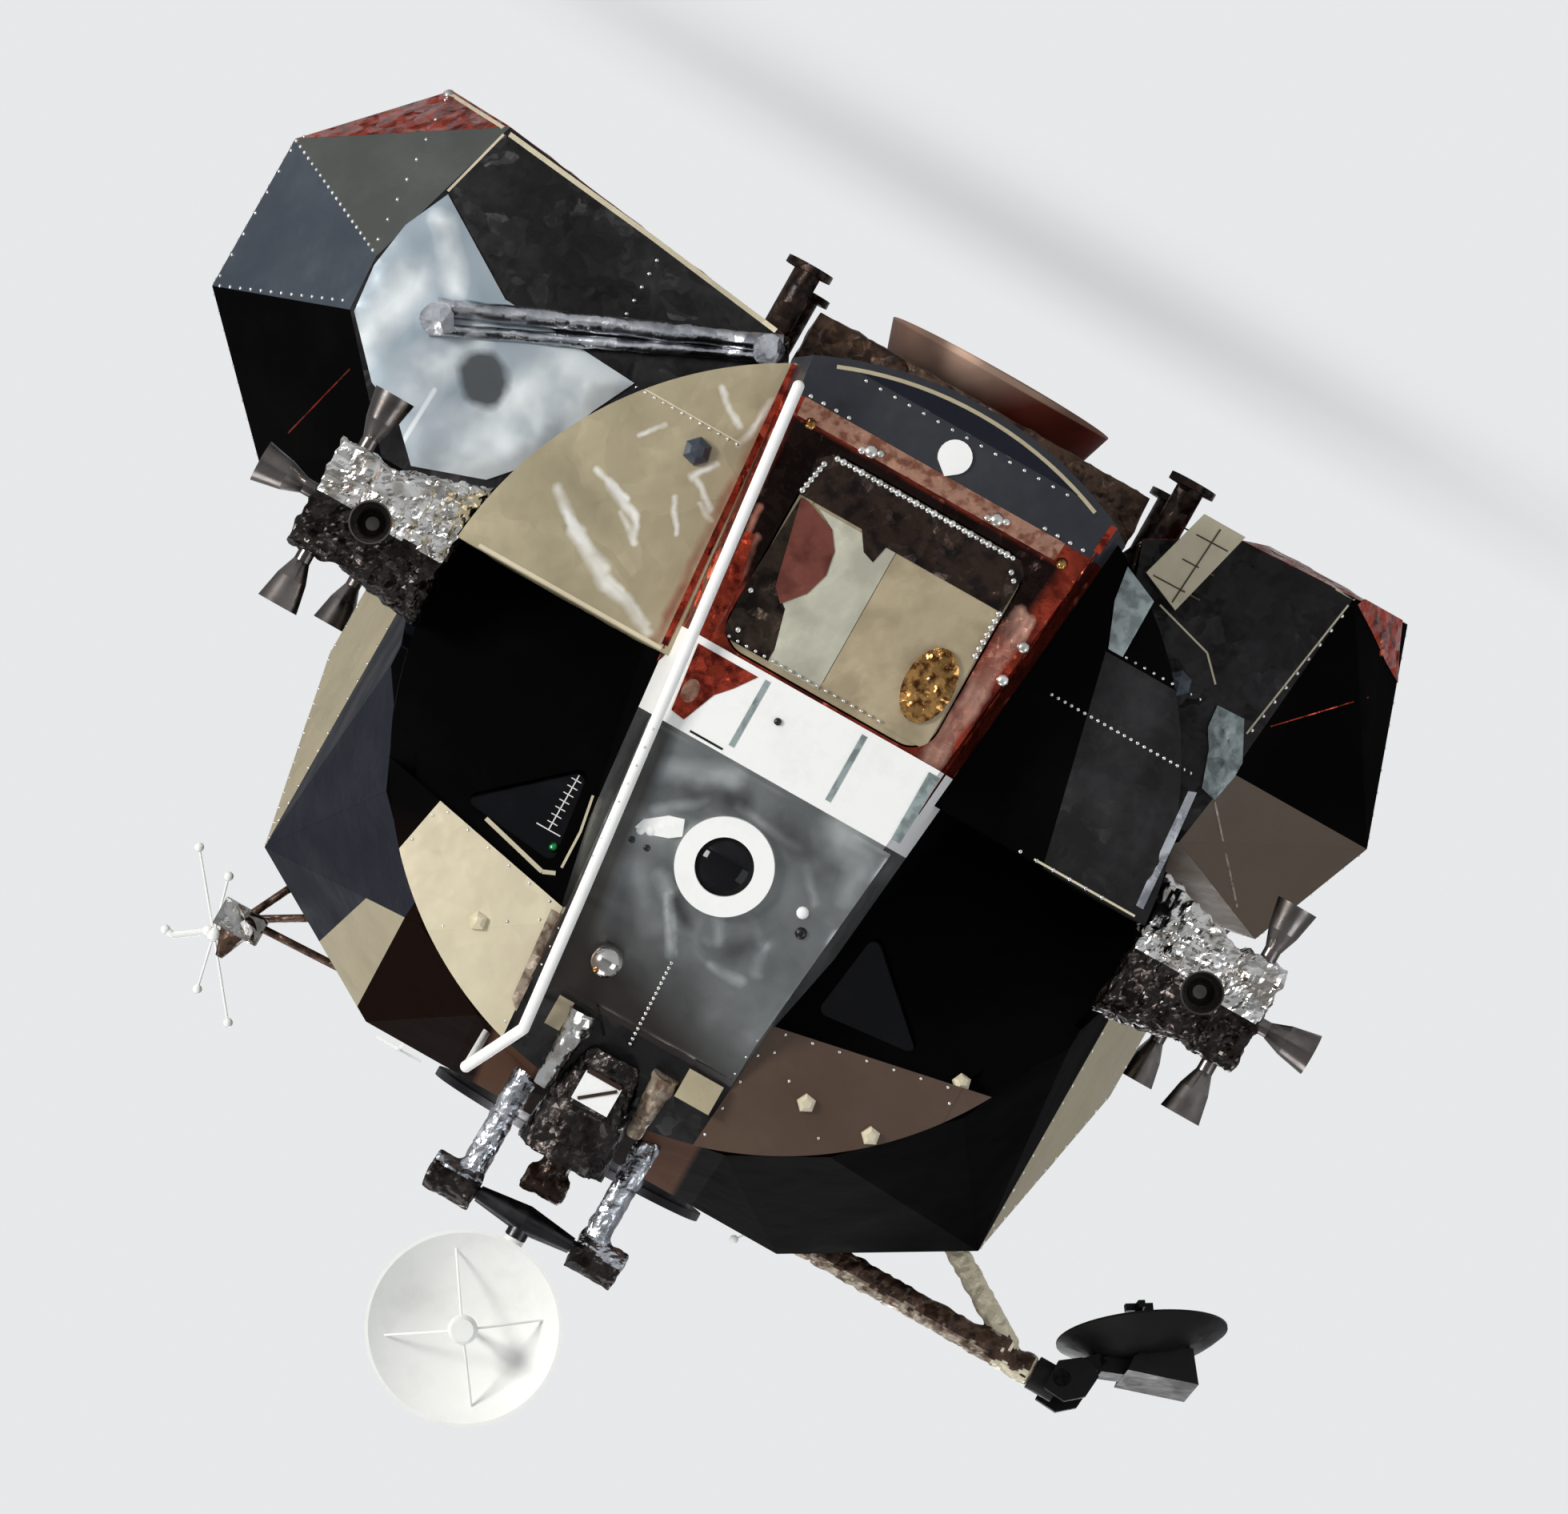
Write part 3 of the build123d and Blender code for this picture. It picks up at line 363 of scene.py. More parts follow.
def cheek_film():
    """Pale anodised sheet of the port cheek, with painted highlights along bright diagonal creases and
    painted shade in two darker ones.
    """
    look = Look("cream_shield", (0.47, 0.405, 0.265), 0.36, 0.4)
    look.wrinkle(0.16, 0.12, warp=0.9)
    look.dents(5.0, 0.5, 0.02)
    look.roughen(6.0, 0.28, 0.46)
    look.cloud((0.35, 0.30, 0.19), 2.6, 5.0, 0.42, 0.72, 0.8, 0.65)
    # Painted highlights along the creases.
    painted_highlight = (0.95, 0.94, 0.88)
    for a, b, wide in (
        ((0.58, 1.235), (0.78, 1.165), 0.012), ((0.60, 1.21), (0.78, 1.145), 0.008),
        ((0.78, 1.165), (0.94, 1.07), 0.018), ((0.80, 1.125), (0.97, 1.045), 0.010),
        ((0.95, 1.06), (1.06, 0.985), 0.012), ((0.76, 1.01), (0.80, 0.94), 0.008),
        ((0.80, 0.94), (0.92, 0.885), 0.012), ((0.76, 1.01), (0.84, 0.955), 0.007),
        ((0.84, 0.90), (0.98, 0.87), 0.008), ((0.58, 0.83), (0.64, 0.80), 0.007),
        ((0.66, 0.92), (0.72, 0.82), 0.006), ((0.60, 0.80), (0.68, 0.74), 0.008),
        ((0.70, 0.74), (0.66, 0.66), 0.008), ((0.62, 0.56), (0.60, 0.40), 0.010),
        ((0.66, 0.52), (0.76, 0.44), 0.008), ((0.86, 0.64), (0.92, 0.70), 0.006),
    ):
        look.fold(a, b, wide * 1.1, painted_highlight, 1.0)
    # Painted shade in two darker creases.
    look.fold((0.88, 0.98), (1.06, 0.92), 0.05, (0.30, 0.255, 0.165), 0.6)
    look.fold((0.70, 1.08), (0.86, 1.01), 0.04, (0.32, 0.275, 0.18), 0.6)
    look.fold((0.55, 1.24), (0.59, 0.40), 0.014, (0.30, 0.10, 0.06), 0.8)
    return look.mat


def frame_film():
    """Copper-red film of the hatch frame, nearly black low beside the hatch, with bright orange specks as
    painted glints and pale streaks down its folds as painted highlights.
    """
    look = Look("copper_foil", (0.34, 0.045, 0.022), 0.26, 0.85)
    look.wrinkle(0.07, 0.42)
    look.dents(14.0, 0.4, 0.02, 4.0)
    look.roughen(9.0, 0.16, 0.36)
    look.cloud((0.10, 0.010, 0.006), 9.0, 3.0, 0.42, 0.6)
    # Painted glints: bright orange specks.
    look.cloud((0.80, 0.20, 0.11), 16.0, 2.0, 0.66, 0.72)
    beside_hatch = look.within(look.outside(look.beyond((-0.47, 0.42), (-0.40, 1.20), 0.02)),
                               look.outside(look.beyond((0.47, 1.20), (0.52, 0.42), 0.02)),
                               look.outside(look.beyond((-0.5, 0.66), (0.5, 0.98), 0.06)),
                               look.beyond((-0.5, 0.405), (0.5, 0.405), 0.012))
    look.tint(beside_hatch, (0.012, 0.005, 0.004))
    # Painted highlights: pale streaks down the folds.
    for x, wide in ((-0.45, 0.012), (-0.43, 0.010), (-0.405, 0.016)):
        look.fold((x + 0.02, 1.16), (x - 0.015, 0.60), wide, (0.78, 0.42, 0.32), 0.9)
    for a, b in (((0.405, 1.14), (0.430, 0.80)), ((0.435, 1.16), (0.470, 0.72)),
                 ((0.48, 1.1), (0.52, 0.5))):
        look.fold(a, b, 0.010, (0.80, 0.32, 0.22), 0.8)
    return look.mat


def bell_film():
    """Coated bell, dark red to starboard and pale pink to port as painted light, with a light rim."""
    look = Look("bell_metal", (0.20, 0.035, 0.020), 0.42, 0.6)
    look.dents(60.0, 0.15, 0.002, 4.0)
    look.roughen(18.0, 0.36, 0.5)
    look.cloud((0.12, 0.02, 0.012), 9.0, 5.0, 0.45, 0.7, 0.7)
    # Painted light: the port side, towards the lamp, in pale pink.
    look.tint(look.outside(look.beyond((-0.05, 0.0), (0.25, 0.25), 0.06)), (0.40, 0.26, 0.20))
    look.tint(look.along((-0.5, -0.032), (0.5, -0.032), 0.008, 1.6), (0.62, 0.42, 0.32))
    return look.mat


# Flat shields: name, colour, second colour, roughness, metal share, dents, their size
black = plain_black()
cream = shield("pale_shield", (0.52, 0.45, 0.30), (0.42, 0.35, 0.23), 0.34, 0.35, 0.12, 0.12)
cheek_cream = cheek_film()
ivory = shield("ivory_shield", (0.68, 0.61, 0.44), (0.58, 0.50, 0.35), 0.36, 0.15, 0.08, 0.15)
brown = shield("brown_shield", (0.040, 0.018, 0.012), (0.07, 0.035, 0.022), 0.36, 0.3, 0.10, 0.15)
# tan_shield: the starboard brow's beige film in painted shade; it also draws thin dark lines on the
# umbilical box.
tan = shield("tan_shield", (0.080, 0.046, 0.029), (0.110, 0.070, 0.046), 0.45, 0.1, 0.07, 0.15)
taupe = shield("taupe_shield", (0.105, 0.072, 0.048), (0.085, 0.058, 0.040), 0.5, 0.1, 0.06, 0.2)
slate = shield("slate_shield", (0.006, 0.007, 0.014), (0.012, 0.014, 0.024), 0.45, 0.1, 0.05, 0.25, 0.2)
green_grey = shield("green_grey_shield", (0.055, 0.060, 0.056), (0.095, 0.10, 0.095),
                    0.4, 0.25, 0.06, 0.2)
blue_grey = shield("blue_grey_shield", (0.045, 0.056, 0.075), (0.085, 0.10, 0.12), 0.38, 0.3, 0.06, 0.2)
charcoal = shield("charcoal_foil", (0.013, 0.012, 0.013), (0.050, 0.047, 0.050),
                  0.34, 0.35, 0.30, 0.07, 0.3)
roof_black = shield("roof_shield", (0.010, 0.009, 0.0095), (0.030, 0.027, 0.027),
                    0.42, 0.25, 0.12, 0.2, 0.25)
navy = shield("navy_band", (0.018, 0.020, 0.027), (0.045, 0.047, 0.055), 0.36, 0.2, 0.08, 0.1)
shadow = shield("antenna_black", (0.0065, 0.006, 0.006), (0.016, 0.013, 0.012),
                0.5, 0.2, 0.06, 0.06, 0.2)

# Crumpled films: name, colour, second colour, fold size, tilt, least and most roughness, metal share
sheet_metal = nose_film()
white_foil = bay_film()
hatch_frame_film = frame_film()
pale_grey = foil("pale_grey_film", (0.36, 0.42, 0.42), (0.20, 0.24, 0.24), 0.05, 0.25, 0.3, 0.5, 0.4)
silver = foil("silver_foil", (0.80, 0.79, 0.77), (0.45, 0.42, 0.38), 0.09, 0.55, 0.10, 0.26)
soft_silver = foil("soft_silver_foil", (0.66, 0.68, 0.72), (0.42, 0.44, 0.48), 0.09, 0.35, 0.18, 0.36)
dark_foil = foil("dark_foil", (0.040, 0.034, 0.032), (0.015, 0.011, 0.010), 0.08, 0.6, 0.18, 0.4, 0.9)
umber_foil = foil("umber_foil", (0.035, 0.020, 0.014), (0.010, 0.006, 0.005), 0.07, 0.5, 0.22, 0.42, 0.7)
kapton = foil("red_film", (0.42, 0.055, 0.028), (0.12, 0.012, 0.008), 0.06, 0.5, 0.14, 0.34, 0.9)
bright_copper = foil("bright_copper_film", (0.80, 0.22, 0.10), (0.35, 0.05, 0.02),
                     0.05, 0.5, 0.12, 0.3, 0.95)
gold = foil("gold_foil", (0.50, 0.27, 0.09), (0.12, 0.045, 0.015), 0.035, 0.7, 0.12, 0.3)
bark = foil("brown_film", (0.10, 0.055, 0.034), (0.035, 0.018, 0.012), 0.05, 0.5, 0.3, 0.5, 0.5)
pale_copper = foil("pale_copper_film", (0.50, 0.27, 0.19), (0.26, 0.10, 0.06), 0.04, 0.35, 0.2, 0.4, 0.8)
pale_bark = foil("pale_brown_film", (0.36, 0.30, 0.23), (0.14, 0.085, 0.055), 0.05, 0.4, 0.3, 0.5, 0.4)
hatch_foil = foil("hatch_foil", (0.52, 0.43, 0.28), (0.42, 0.34, 0.22), 0.2, 0.10, 0.28, 0.44, 0.45)
hatch_pale = foil("hatch_pale_foil", (0.56, 0.55, 0.44), (0.46, 0.44, 0.35), 0.2, 0.08, 0.3, 0.46, 0.35)
hatch_red = foil("hatch_red_foil", (0.20, 0.060, 0.042), (0.12, 0.03, 0.022), 0.12, 0.12, 0.28, 0.42, 0.5)
hatch_dark = foil("hatch_dark_foil", (0.055, 0.038, 0.028), (0.015, 0.010, 0.008),
                  0.10, 0.45, 0.16, 0.34, 0.85)

# Paint, bare metal and glass
white = paint("white_paint", (0.90, 0.90, 0.88), 0.42, amount=0.2)
dish_white = paint("dish_white", (0.86, 0.86, 0.83), 0.5, grime=(0.58, 0.57, 0.52), amount=0.3)
grey_inside = paint("cabin_grey", (0.30, 0.33, 0.34), 0.55)
steel = metal("machined_steel", (0.55, 0.55, 0.56), 0.3)
# On the polished steel the gold stain is a painted reflection of gold film nearby.
chrome = metal("polished_steel", (0.60, 0.58, 0.56), 0.10, grain=30.0, stain_and_glint=(0.20, 0.10, 0.04))
bright = metal("bright_fasteners", (0.90, 0.89, 0.85), 0.24)
gunmetal = metal("gunmetal", (0.055, 0.054, 0.058), 0.32)
green = metal("green_lamp", (0.05, 0.38, 0.12), 0.3)
nozzle_metal = metal("nozzle_metal", (0.20, 0.18, 0.17), 0.26, stain_and_glint=(0.05, 0.042, 0.04))
bell_metal = bell_film()
pane = glass("window_pane", (0.0012, 0.0014, 0.003), 0.16)
lens = glass("dark_lens", (0.006, 0.006, 0.007), 0.03)

# CAD nodes by look
node_looks = {
    black: ["cabin_barrel", "window_panel_port", "window_panel_starboard", "recess_side_walls",
            "shoulder_shield_port", "shoulder_shield_starboard", "roof_deck",
            "front_fairing_port", "front_fairing_starboard", "front_deck", "aft_equipment_bay",
            "fuel_tank_bay", "oxidizer_tank_bay", "brow_panel_port", "cheek_panel_starboard"],
    cream: ["nose_blocks"],
    ivory: ["umbilical_box"],
    cheek_cream: ["cheek_panel_port"],
    charcoal: ["nose_cap", "telescope_shroud"],
    # Tan on the starboard brow is painted shade on beige film.
    tan: ["brow_panel_starboard"],
    navy: ["lower_skirt"],
    hatch_frame_film: ["hatch_frame"],
    # Dark umber on the base heat shield and the feet is painted shade for the underside; the hatch's dark
    # foot uses it too.
    umber_foil: ["base_heat_shield", "interstage_feet"],
    hatch_foil: ["forward_hatch"],
    white: ["console_panel", "tracking_light_ring", "handrail", "docking_target",
            "vhf_antenna_port", "vhf_antenna_rear"],
    dish_white: ["radar_dish"],
    sheet_metal: ["nose_panel"],
    lens: ["tracking_light_lens"],
    pane: ["window_panes"],
    grey_inside: ["middle_drum", "engine_cover"],
    steel: ["docking_drogue"],
    gunmetal: ["radar_yoke", "docking_tunnel"],
    soft_silver: ["fuel_bay_strut", "radar_pedestal"],
    bell_metal: ["ascent_engine"],
    shadow: ["s_band_gimbal", "s_band_dish"],
    chrome: ["omni_antenna_front", "omni_antenna_rear"],
    bark: ["s_band_boom"],
    silver: [n for n in nodes if n.startswith("thruster_housing")],
    nozzle_metal: [n for n in nodes if n.startswith("thrusters_")],
}
for look, names in node_looks.items():
    for name in names:
        slots = nodes[name].data.materials
        if len(slots) == 0:
            slots.append(look)
        for i in range(len(slots)):
            slots[i] = look


# Geometry helpers
def piece(name, mesh, look, body="stage", slot=None, smooth=False):
    """A new object that rides on a body, with its mesh already in place."""
    obj = bpy.data.objects.new(name, mesh)
    bpy.context.scene.collection.objects.link(obj)
    mesh.materials.clear()
    mesh.materials.append(look)
    for face in mesh.polygons:
        face.use_smooth = smooth
    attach(obj, body)
    return obj


def from_bmesh(name, bm, look, soft=None, **words):
    """A piece from a bmesh; soft is the angle in radians under which its edges are rounded."""
    mesh = bpy.data.meshes.new(name)
    bm.to_mesh(mesh)
    bm.free()
    obj = piece(name, mesh, look, smooth=soft is not None, **words)
    if soft:
        mesh.set_sharp_from_angle(angle=soft)
    return obj


def tree_of(objects):
    """One ray tree over several objects."""
    points = []
    faces = []
    for obj in objects:
        mesh = obj.data
        start = len(points)
        points += [v.co.copy() for v in mesh.vertices]
        faces += [tuple(start + i for i in p.vertices) for p in mesh.polygons]
    return BVHTree.FromPolygons(points, faces)


solid_tree = tree_of([obj for n, obj in nodes.items() if body_names.get(n) == "stage"])


def facets_of(name):
    """Flat faces of a CAD node, as lists of corners, with their normals."""
    bm = bmesh.new()
    bm.from_mesh(nodes[name].data)
    bmesh.ops.remove_doubles(bm, verts=bm.verts, dist=2e-5)
    bmesh.ops.dissolve_limit(bm, angle_limit=0.02, verts=bm.verts, edges=bm.edges)
    bm.normal_update()
    found = [([v.co.copy() for v in f.verts], f.normal.copy()) for f in bm.faces
             if f.calc_area() > least_facet]
    bm.free()
    return found


def flat_mesh(corners):
    """A bmesh with one flat face."""
    bm = bmesh.new()
    bm.faces.new([bm.verts.new(c) for c in corners])
    return bm


def cut(bm, point, normal):
    """Splits the faces of a bmesh along a plane."""
    geom = bm.verts[:] + bm.edges[:] + bm.faces[:]
    bmesh.ops.bisect_plane(bm, geom=geom, plane_co=point, plane_no=normal, dist=1e-6)


def hidden(corners, normal):
    """True where other CAD solids cover nearly all of a face."""
    middle = sum(corners, Vector()) / len(corners)
    places = [middle] + [middle.lerp(c, t) for c in corners for t in (0.45, 0.9)]
    hits = [solid_tree.ray_cast(place + normal * 0.0012, normal, 0.03)[0] for place in places]
    return sum(hit is not None for hit in hits) > 0.9 * len(places)


def edge_distance(point, ring):
    """Distance from a point to the nearest side of an outline."""
    best = 9.0
    for a, b in zip(ring, ring[1:] + ring[:1]):
        side = b - a
        t = max(0.0, min(1.0, (point - a).dot(side) / max(side.length_squared, 1e-12)))
        best = min(best, (a + side * t - point).length)
    return best


def creases(point, size):
    """Height from 0 to 1 of a crumpled sheet, with straight ridges."""
    p = point / size
    p = p + noise.noise_vector(p * 0.8) * 0.35
    near = noise.voronoi(p)[0]
    ridge = min(1.0, (near[1] - near[0]) * 1.6)
    return 0.75 * ridge + 0.25 * (0.5 + 0.5 * noise.noise(p * 2.3))


def drape(point, size):
    """Height from 0 to 1 of a taut film with long soft folds."""
    across = point.x * 0.5 + point.z * 0.86
    along = point.x * 0.86 - point.z * 0.5
    p = Vector((across / size, along / (size * 3.5), point.y / size))
    p += noise.noise_vector(p * 0.6) * 0.5
    fold = 1 - abs(noise.noise(p))
    return 0.5 * fold ** 6 + 0.5 * (0.5 + 0.5 * noise.noise(point / (size * 2.2)))


def skin_panel(store, corners, normal, cell, lift, depth, size, inset, shape):
    """Adds a thin crumpled panel over a flat outline to a bmesh."""
    bm = flat_mesh(corners)
    bm.normal_update()
    if bm.faces[:] and bm.faces[:][0].normal.dot(normal) < 0:
        bmesh.ops.reverse_faces(bm, faces=bm.faces[:])
    if inset > 0:
        inner = bmesh.ops.inset_region(bm, faces=bm.faces[:], thickness=inset, use_even_offset=True)
        bmesh.ops.delete(bm, geom=inner["faces"], context="FACES")
        loose = [v for v in bm.verts if not v.link_faces]
        bmesh.ops.delete(bm, geom=loose, context="VERTS")
    if not bm.faces:
        bm.free()
        return []
    ring = [v.co.copy() for v in max(bm.faces, key=lambda f: f.calc_area()).verts]
    u = (ring[1] - ring[0]).normalized()
    v = normal.cross(u)
    for axis in (u, v):
        spread = [c.dot(axis) for c in ring]
        count = int((max(spread) - min(spread)) / cell)
        step = (max(spread) - min(spread)) / (count + 1)
        for i in range(count):
            cut(bm, axis * (min(spread) + step * (i + 1)), axis)
    bmesh.ops.triangulate(bm, faces=bm.faces[:])
    for vert in bm.verts:
        fade = min(1.0, edge_distance(vert.co, ring) / 0.05)
        vert.co += normal * (lift + depth * shape(vert.co, size) * fade)
    rim = [e for e in bm.edges if e.is_boundary]
    down = bmesh.ops.extrude_edge_only(bm, edges=rim)
    for item in down["geom"]:
        if isinstance(item, bmesh.types.BMVert):
            item.co -= normal * lift
    mesh = bpy.data.meshes.new("part")
    bm.to_mesh(mesh)
    bm.free()
    store.from_mesh(mesh)
    bpy.data.meshes.remove(mesh)
    return ring


def dome(store, centre, normal, radius, sides=7):
    """Adds a low round head to a bmesh."""
    u = normal.orthogonal().normalized()
    v = normal.cross(u)
    rings = []
    for out, up in ((1.0, -0.2), (0.9, 0.35), (0.5, 0.62)):
        rings.append([
            store.verts.new(centre + (u * math.cos(a) + v * math.sin(a)) * radius * out
                            + normal * radius * up)
            for a in (2 * math.pi * i / sides for i in range(sides))
        ])
    top = store.verts.new(centre + normal * radius * 0.7)
    for low, high in zip(rings, rings[1:]):
        for i in range(sides):
            j = (i + 1) % sides
            store.faces.new((low[i], low[j], high[j], high[i]))
    for i in range(sides):
        store.faces.new((rings[-1][i], rings[-1][(i + 1) % sides], top))


rivets = bmesh.new()
riveted = []


def rivet_ring(ring, normal, pitch, least=0.1):
    """Rows of rivets just inside an outline, once along a shared edge."""
    middle = sum(ring, Vector()) / len(ring)
    for a, b in zip(ring, ring[1:] + ring[:1]):
        length = (b - a).length
        centre = (a + b) / 2
        if length < least or any((centre - c).length < 0.05 for c in riveted):
            continue
        riveted.append(centre)
        count = max(1, int(length / pitch))
        inward = middle - centre
        side = (b - a).normalized()
        inward = (inward - side * inward.dot(side)).normalized() * rivet_radius * 2.2
        for i in range(count):
            place = a.lerp(b, (i + 0.5) / count) + inward
            dome(rivets, place + normal * panel_lift, normal, rivet_radius)


skins = {}


def clad(name, rule, cuts=()):
    """Covers the open flat faces of a CAD node with thin panels, each as the rule says.

    The rule takes a face's middle and normal, and gives a look, crease depth, crease size and
    rivet pitch, or nothing.
    """
    for corners, normal in facets_of(name):
        if hidden(corners, normal):
            continue
        bm = flat_mesh(corners)
        for point, across in cuts:
            cut(bm, point, across)
        parts = [[v.co.copy() for v in f.verts] for f in bm.faces
                 if f.calc_area() > least_facet * 0.6]
        bm.free()
        for part in parts:
            middle = sum(part, Vector()) / len(part)
            said = rule(middle, normal)
            if not said or hidden(part, normal):
                continue
            look, depth, size, pitch = said
            if (name, look) not in skins:
                skins[name, look] = bmesh.new()
            ring = skin_panel(skins[name, look], part, normal, max(0.024, size * 0.26), panel_lift,
                              depth, size, panel_inset, drape if look == cheek_cream else creases)
            if ring and pitch:
                rivet_ring(ring, normal, pitch)


# Bays: dark film in front, shields round them, copper film below. The fuel bay's grey side facets are
# black paint drawn with a painted sheen.
def bay_rule(middle, normal):
    front = normal.y < -0.15
    if normal.y < -0.9:
        return charcoal, 0.006, 0.14, 0
    if normal.z < -0.6:
        return kapton, 0.008, 0.12, 0
    if middle.x > 0:
        if normal.z > 0.45:
            return black, 0.003, 0.3, 0 if front else 0.055
        # Painted sheen: the fuel bay's side and end facets, black paint in the sun, are drawn blue-grey
        # and green-grey.
        if abs(normal.y) > 0.25:
            return (green_grey if middle.z < 0.6 else blue_grey), 0.004, 0.25, 0 if front else 0.045
        return green_grey, 0.004, 0.25, 0.045
    if normal.z > 0.25 or middle.z > 0.72:
        return taupe, 0.004, 0.25, 0 if front else 0.06
    return black, 0.003, 0.3, 0 if front else 0.07


def plane_by(a, b, c):
    """A cutting plane through three points, as a point and a normal."""
    a, b, c = Vector(a), Vector(b), Vector(c)
    return a, (b - a).cross(c - a).normalized()


def level(axis, value):
    """A cutting plane at a value of x, y or z, which are axes 0, 1 and 2."""
    normal = Vector([float(i == axis) for i in range(3)])
    return normal * value, normal


clad("fuel_tank_bay", bay_rule)
clad("oxidizer_tank_bay", bay_rule)


# Fairing facets round the front, mostly black with a pale one and a grey one to port. The pale one is
# painted light, the sunlit corner of a tan film cut off along its shadow line; the shaded rest of that
# film stays black as painted shade.
def fairing_rule(middle, normal):
    if middle.x > 0 and middle.y < -0.4:
        turn = math.degrees(math.atan2(middle.z - drum_z, middle.x))
        # Painted light: the sunlit corner of the port fairing's tan film, in pale cream.
        if 50 < turn < 60.5 and middle.x > 0.76:
            return cream, 0.003, 0.2, 0
        if turn <= 50:
            return slate, 0.004, 0.25, 0
    return black, 0.003, 0.3, 0


sun_edge_cuts = [
    plane_by((0.783, -1.56, 2.397), (0.78, -0.69, 2.70), (0.6, -1.0, 1.9)),
    plane_by((0.859, -1.56, 2.265), (0.975, -0.69, 2.572), (0.6, -1.0, 1.9)),
]
clad("front_fairing_port", fairing_rule, sun_edge_cuts)
clad("front_fairing_starboard", fairing_rule)
clad("front_deck", fairing_rule)


def shoulder_rule(middle, normal):
    if abs(normal.x) > 0.6 and middle.z > 1.4:
        return cream, 0.005, 0.2, 0.06
    if normal.y > 0.8 or normal.z < -0.3:
        return charcoal, 0.004, 0.2, 0
    return (roof_black if normal.z > 0.96 else black), 0.003, 0.3, 0


for side in ("port", "starboard"):
    clad(f"shoulder_shield_{side}", shoulder_rule)
clad("roof_deck", lambda middle, normal: (roof_black, 0.004, 0.22, 0.06),
     [level(1, -0.15), level(1, 0.45)])


def aft_rule(middle, normal):
    if normal.y > 0.8:
        plain = middle.z < 1.35 or abs(middle.x) > 0.55 and middle.z < 2.0
        return (charcoal if plain else roof_black), 0.006, 0.18, 0.06
    if normal.z < -0.5:
        return kapton, 0.012, 0.09, 0
    if abs(normal.x) > 0.6:
        return (slate if middle.y > 1.3 else cream), 0.005, 0.2, 0.05
    return roof_black, 0.004, 0.25, 0.06


aft_cuts = [level(1, 1.28), level(2, 1.35), level(2, 2.0)] + [level(0, x) for x in (-0.55, 0, 0.55)]
clad("aft_equipment_bay", aft_rule, aft_cuts)
clad("base_heat_shield", lambda middle, normal: (bark, 0.012, 0.08, 0))


# Cheeks: pale creased sheet to port, dark foil with two riveted seams to starboard. Inboard of a diagonal
# shadow line the starboard cheek is left plain black as painted shadow.
def cheek_rule(middle, normal):
    if abs(normal.y) < 0.8 and normal.z < 0.8:
        return None
    if middle.x > 0:
        return cheek_cream, 0.010, 0.16, 0
    # Painted shadow: inboard of the shadow line the starboard cheek keeps the plain black.
    return (charcoal, 0.012, 0.12, 0) if middle.x < -0.82 + (middle.z - 0.8) * 0.12 else None


def brow_rule(middle, normal):
    if normal.y > -0.8 or abs(middle.x) > (0.85 if middle.x > 0 else 0.95):
        return None
    # The starboard brow in tan is the same beige film as the ivory port brow, drawn in painted shade.
    return (ivory if middle.x > 0 else tan), 0.003, 0.2, 0.08


cheek_y, brow_y = -1.69, -1.65
seams = [level(2, true_point(0, z, cheek_y).z) for z in (0.57, 0.78)]
shadow_edge = plane_by(true_point(-0.88, 1.24, cheek_y), true_point(-0.72, 0.56, cheek_y),
                     (-0.8, 0, 0.9))
clad("cheek_panel_port", cheek_rule)
clad("cheek_panel_starboard", cheek_rule, seams + [shadow_edge])
port_end = plane_by(true_point(0.915, 2.14, brow_y), true_point(0.885, 1.99, brow_y), (0.85, 0, 2.0))
clad("brow_panel_port", brow_rule, [port_end])
clad("brow_panel_starboard", brow_rule, [level(0, -0.95)])

slot_of = {s["node"]: s["material_slot"] for s in frame["record"]["subparts"]}
dressed = [
    from_bmesh(f"skin_{name}_{index}", store, look, slot=slot_of[name], soft=0.7)
    for index, ((name, look), store) in enumerate(skins.items())
]

# Details are placed as the upright photo shows them, on whatever they meet there
bare_tree = tree_of(list(nodes.values()))
dressed_tree = tree_of(list(nodes.values()) + dressed)


def sight(x, z):
    """Direction from the eye through a place on the photo."""
    return (Vector((x, 0, z)) - eye).normalized()


def spot(x, z, tree=dressed_tree):
    """Where the sight line through a place on the photo meets the object, and the facet's normal."""
    aim = sight(x, z)
    hit = tree.ray_cast(eye, aim)[0]
    normal = bare_tree.ray_cast(eye, aim)[1]
    if hit is None or normal is None:
        return None, None
    return hit, normal if normal.y < 0 else -normal


def flat_outline(points, at=None):
    """Outline on the plane that the photo's place at (or the middle) lies on."""
    at = at or (sum(p[0] for p in points) / len(points), sum(p[1] for p in points) / len(points))
    middle, normal = spot(*at, bare_tree)
    aims = [sight(*point) for point in points]
    return [eye + aim * ((middle - eye).dot(normal) / aim.dot(normal)) for aim in aims], normal


def patch(name, points, look, lift=0.002, depth=0.004, size=0.1, cell=0.02, body="stage",
          slot=None, at=None, shape=creases):
    """Thin crumpled sheet with that outline on the photo."""
    corners, normal = flat_outline(points, at)
    store = bmesh.new()
    skin_panel(store, corners, normal, cell, lift, depth, size, 0, shape)
    from_bmesh(name, store, look, body=body, slot=slot, soft=0.7)


def ring_points(x, z, rx, rz=None, first=0, last=360, count=24):
    """Places round an ellipse on the photo, between two turns in degrees."""
    rz = rz or rx
    turns = [math.radians(first + (last - first) * i / count) for i in range(count)]
    return [(x + rx * math.cos(t), z + rz * math.sin(t)) for t in turns]


def row(a, b, count):
    """Evenly spaced places from a to b."""
    return [(a[0] + (b[0] - a[0]) * i / (count - 1), a[1] + (b[1] - a[1]) * i / (count - 1))
            for i in range(count)]


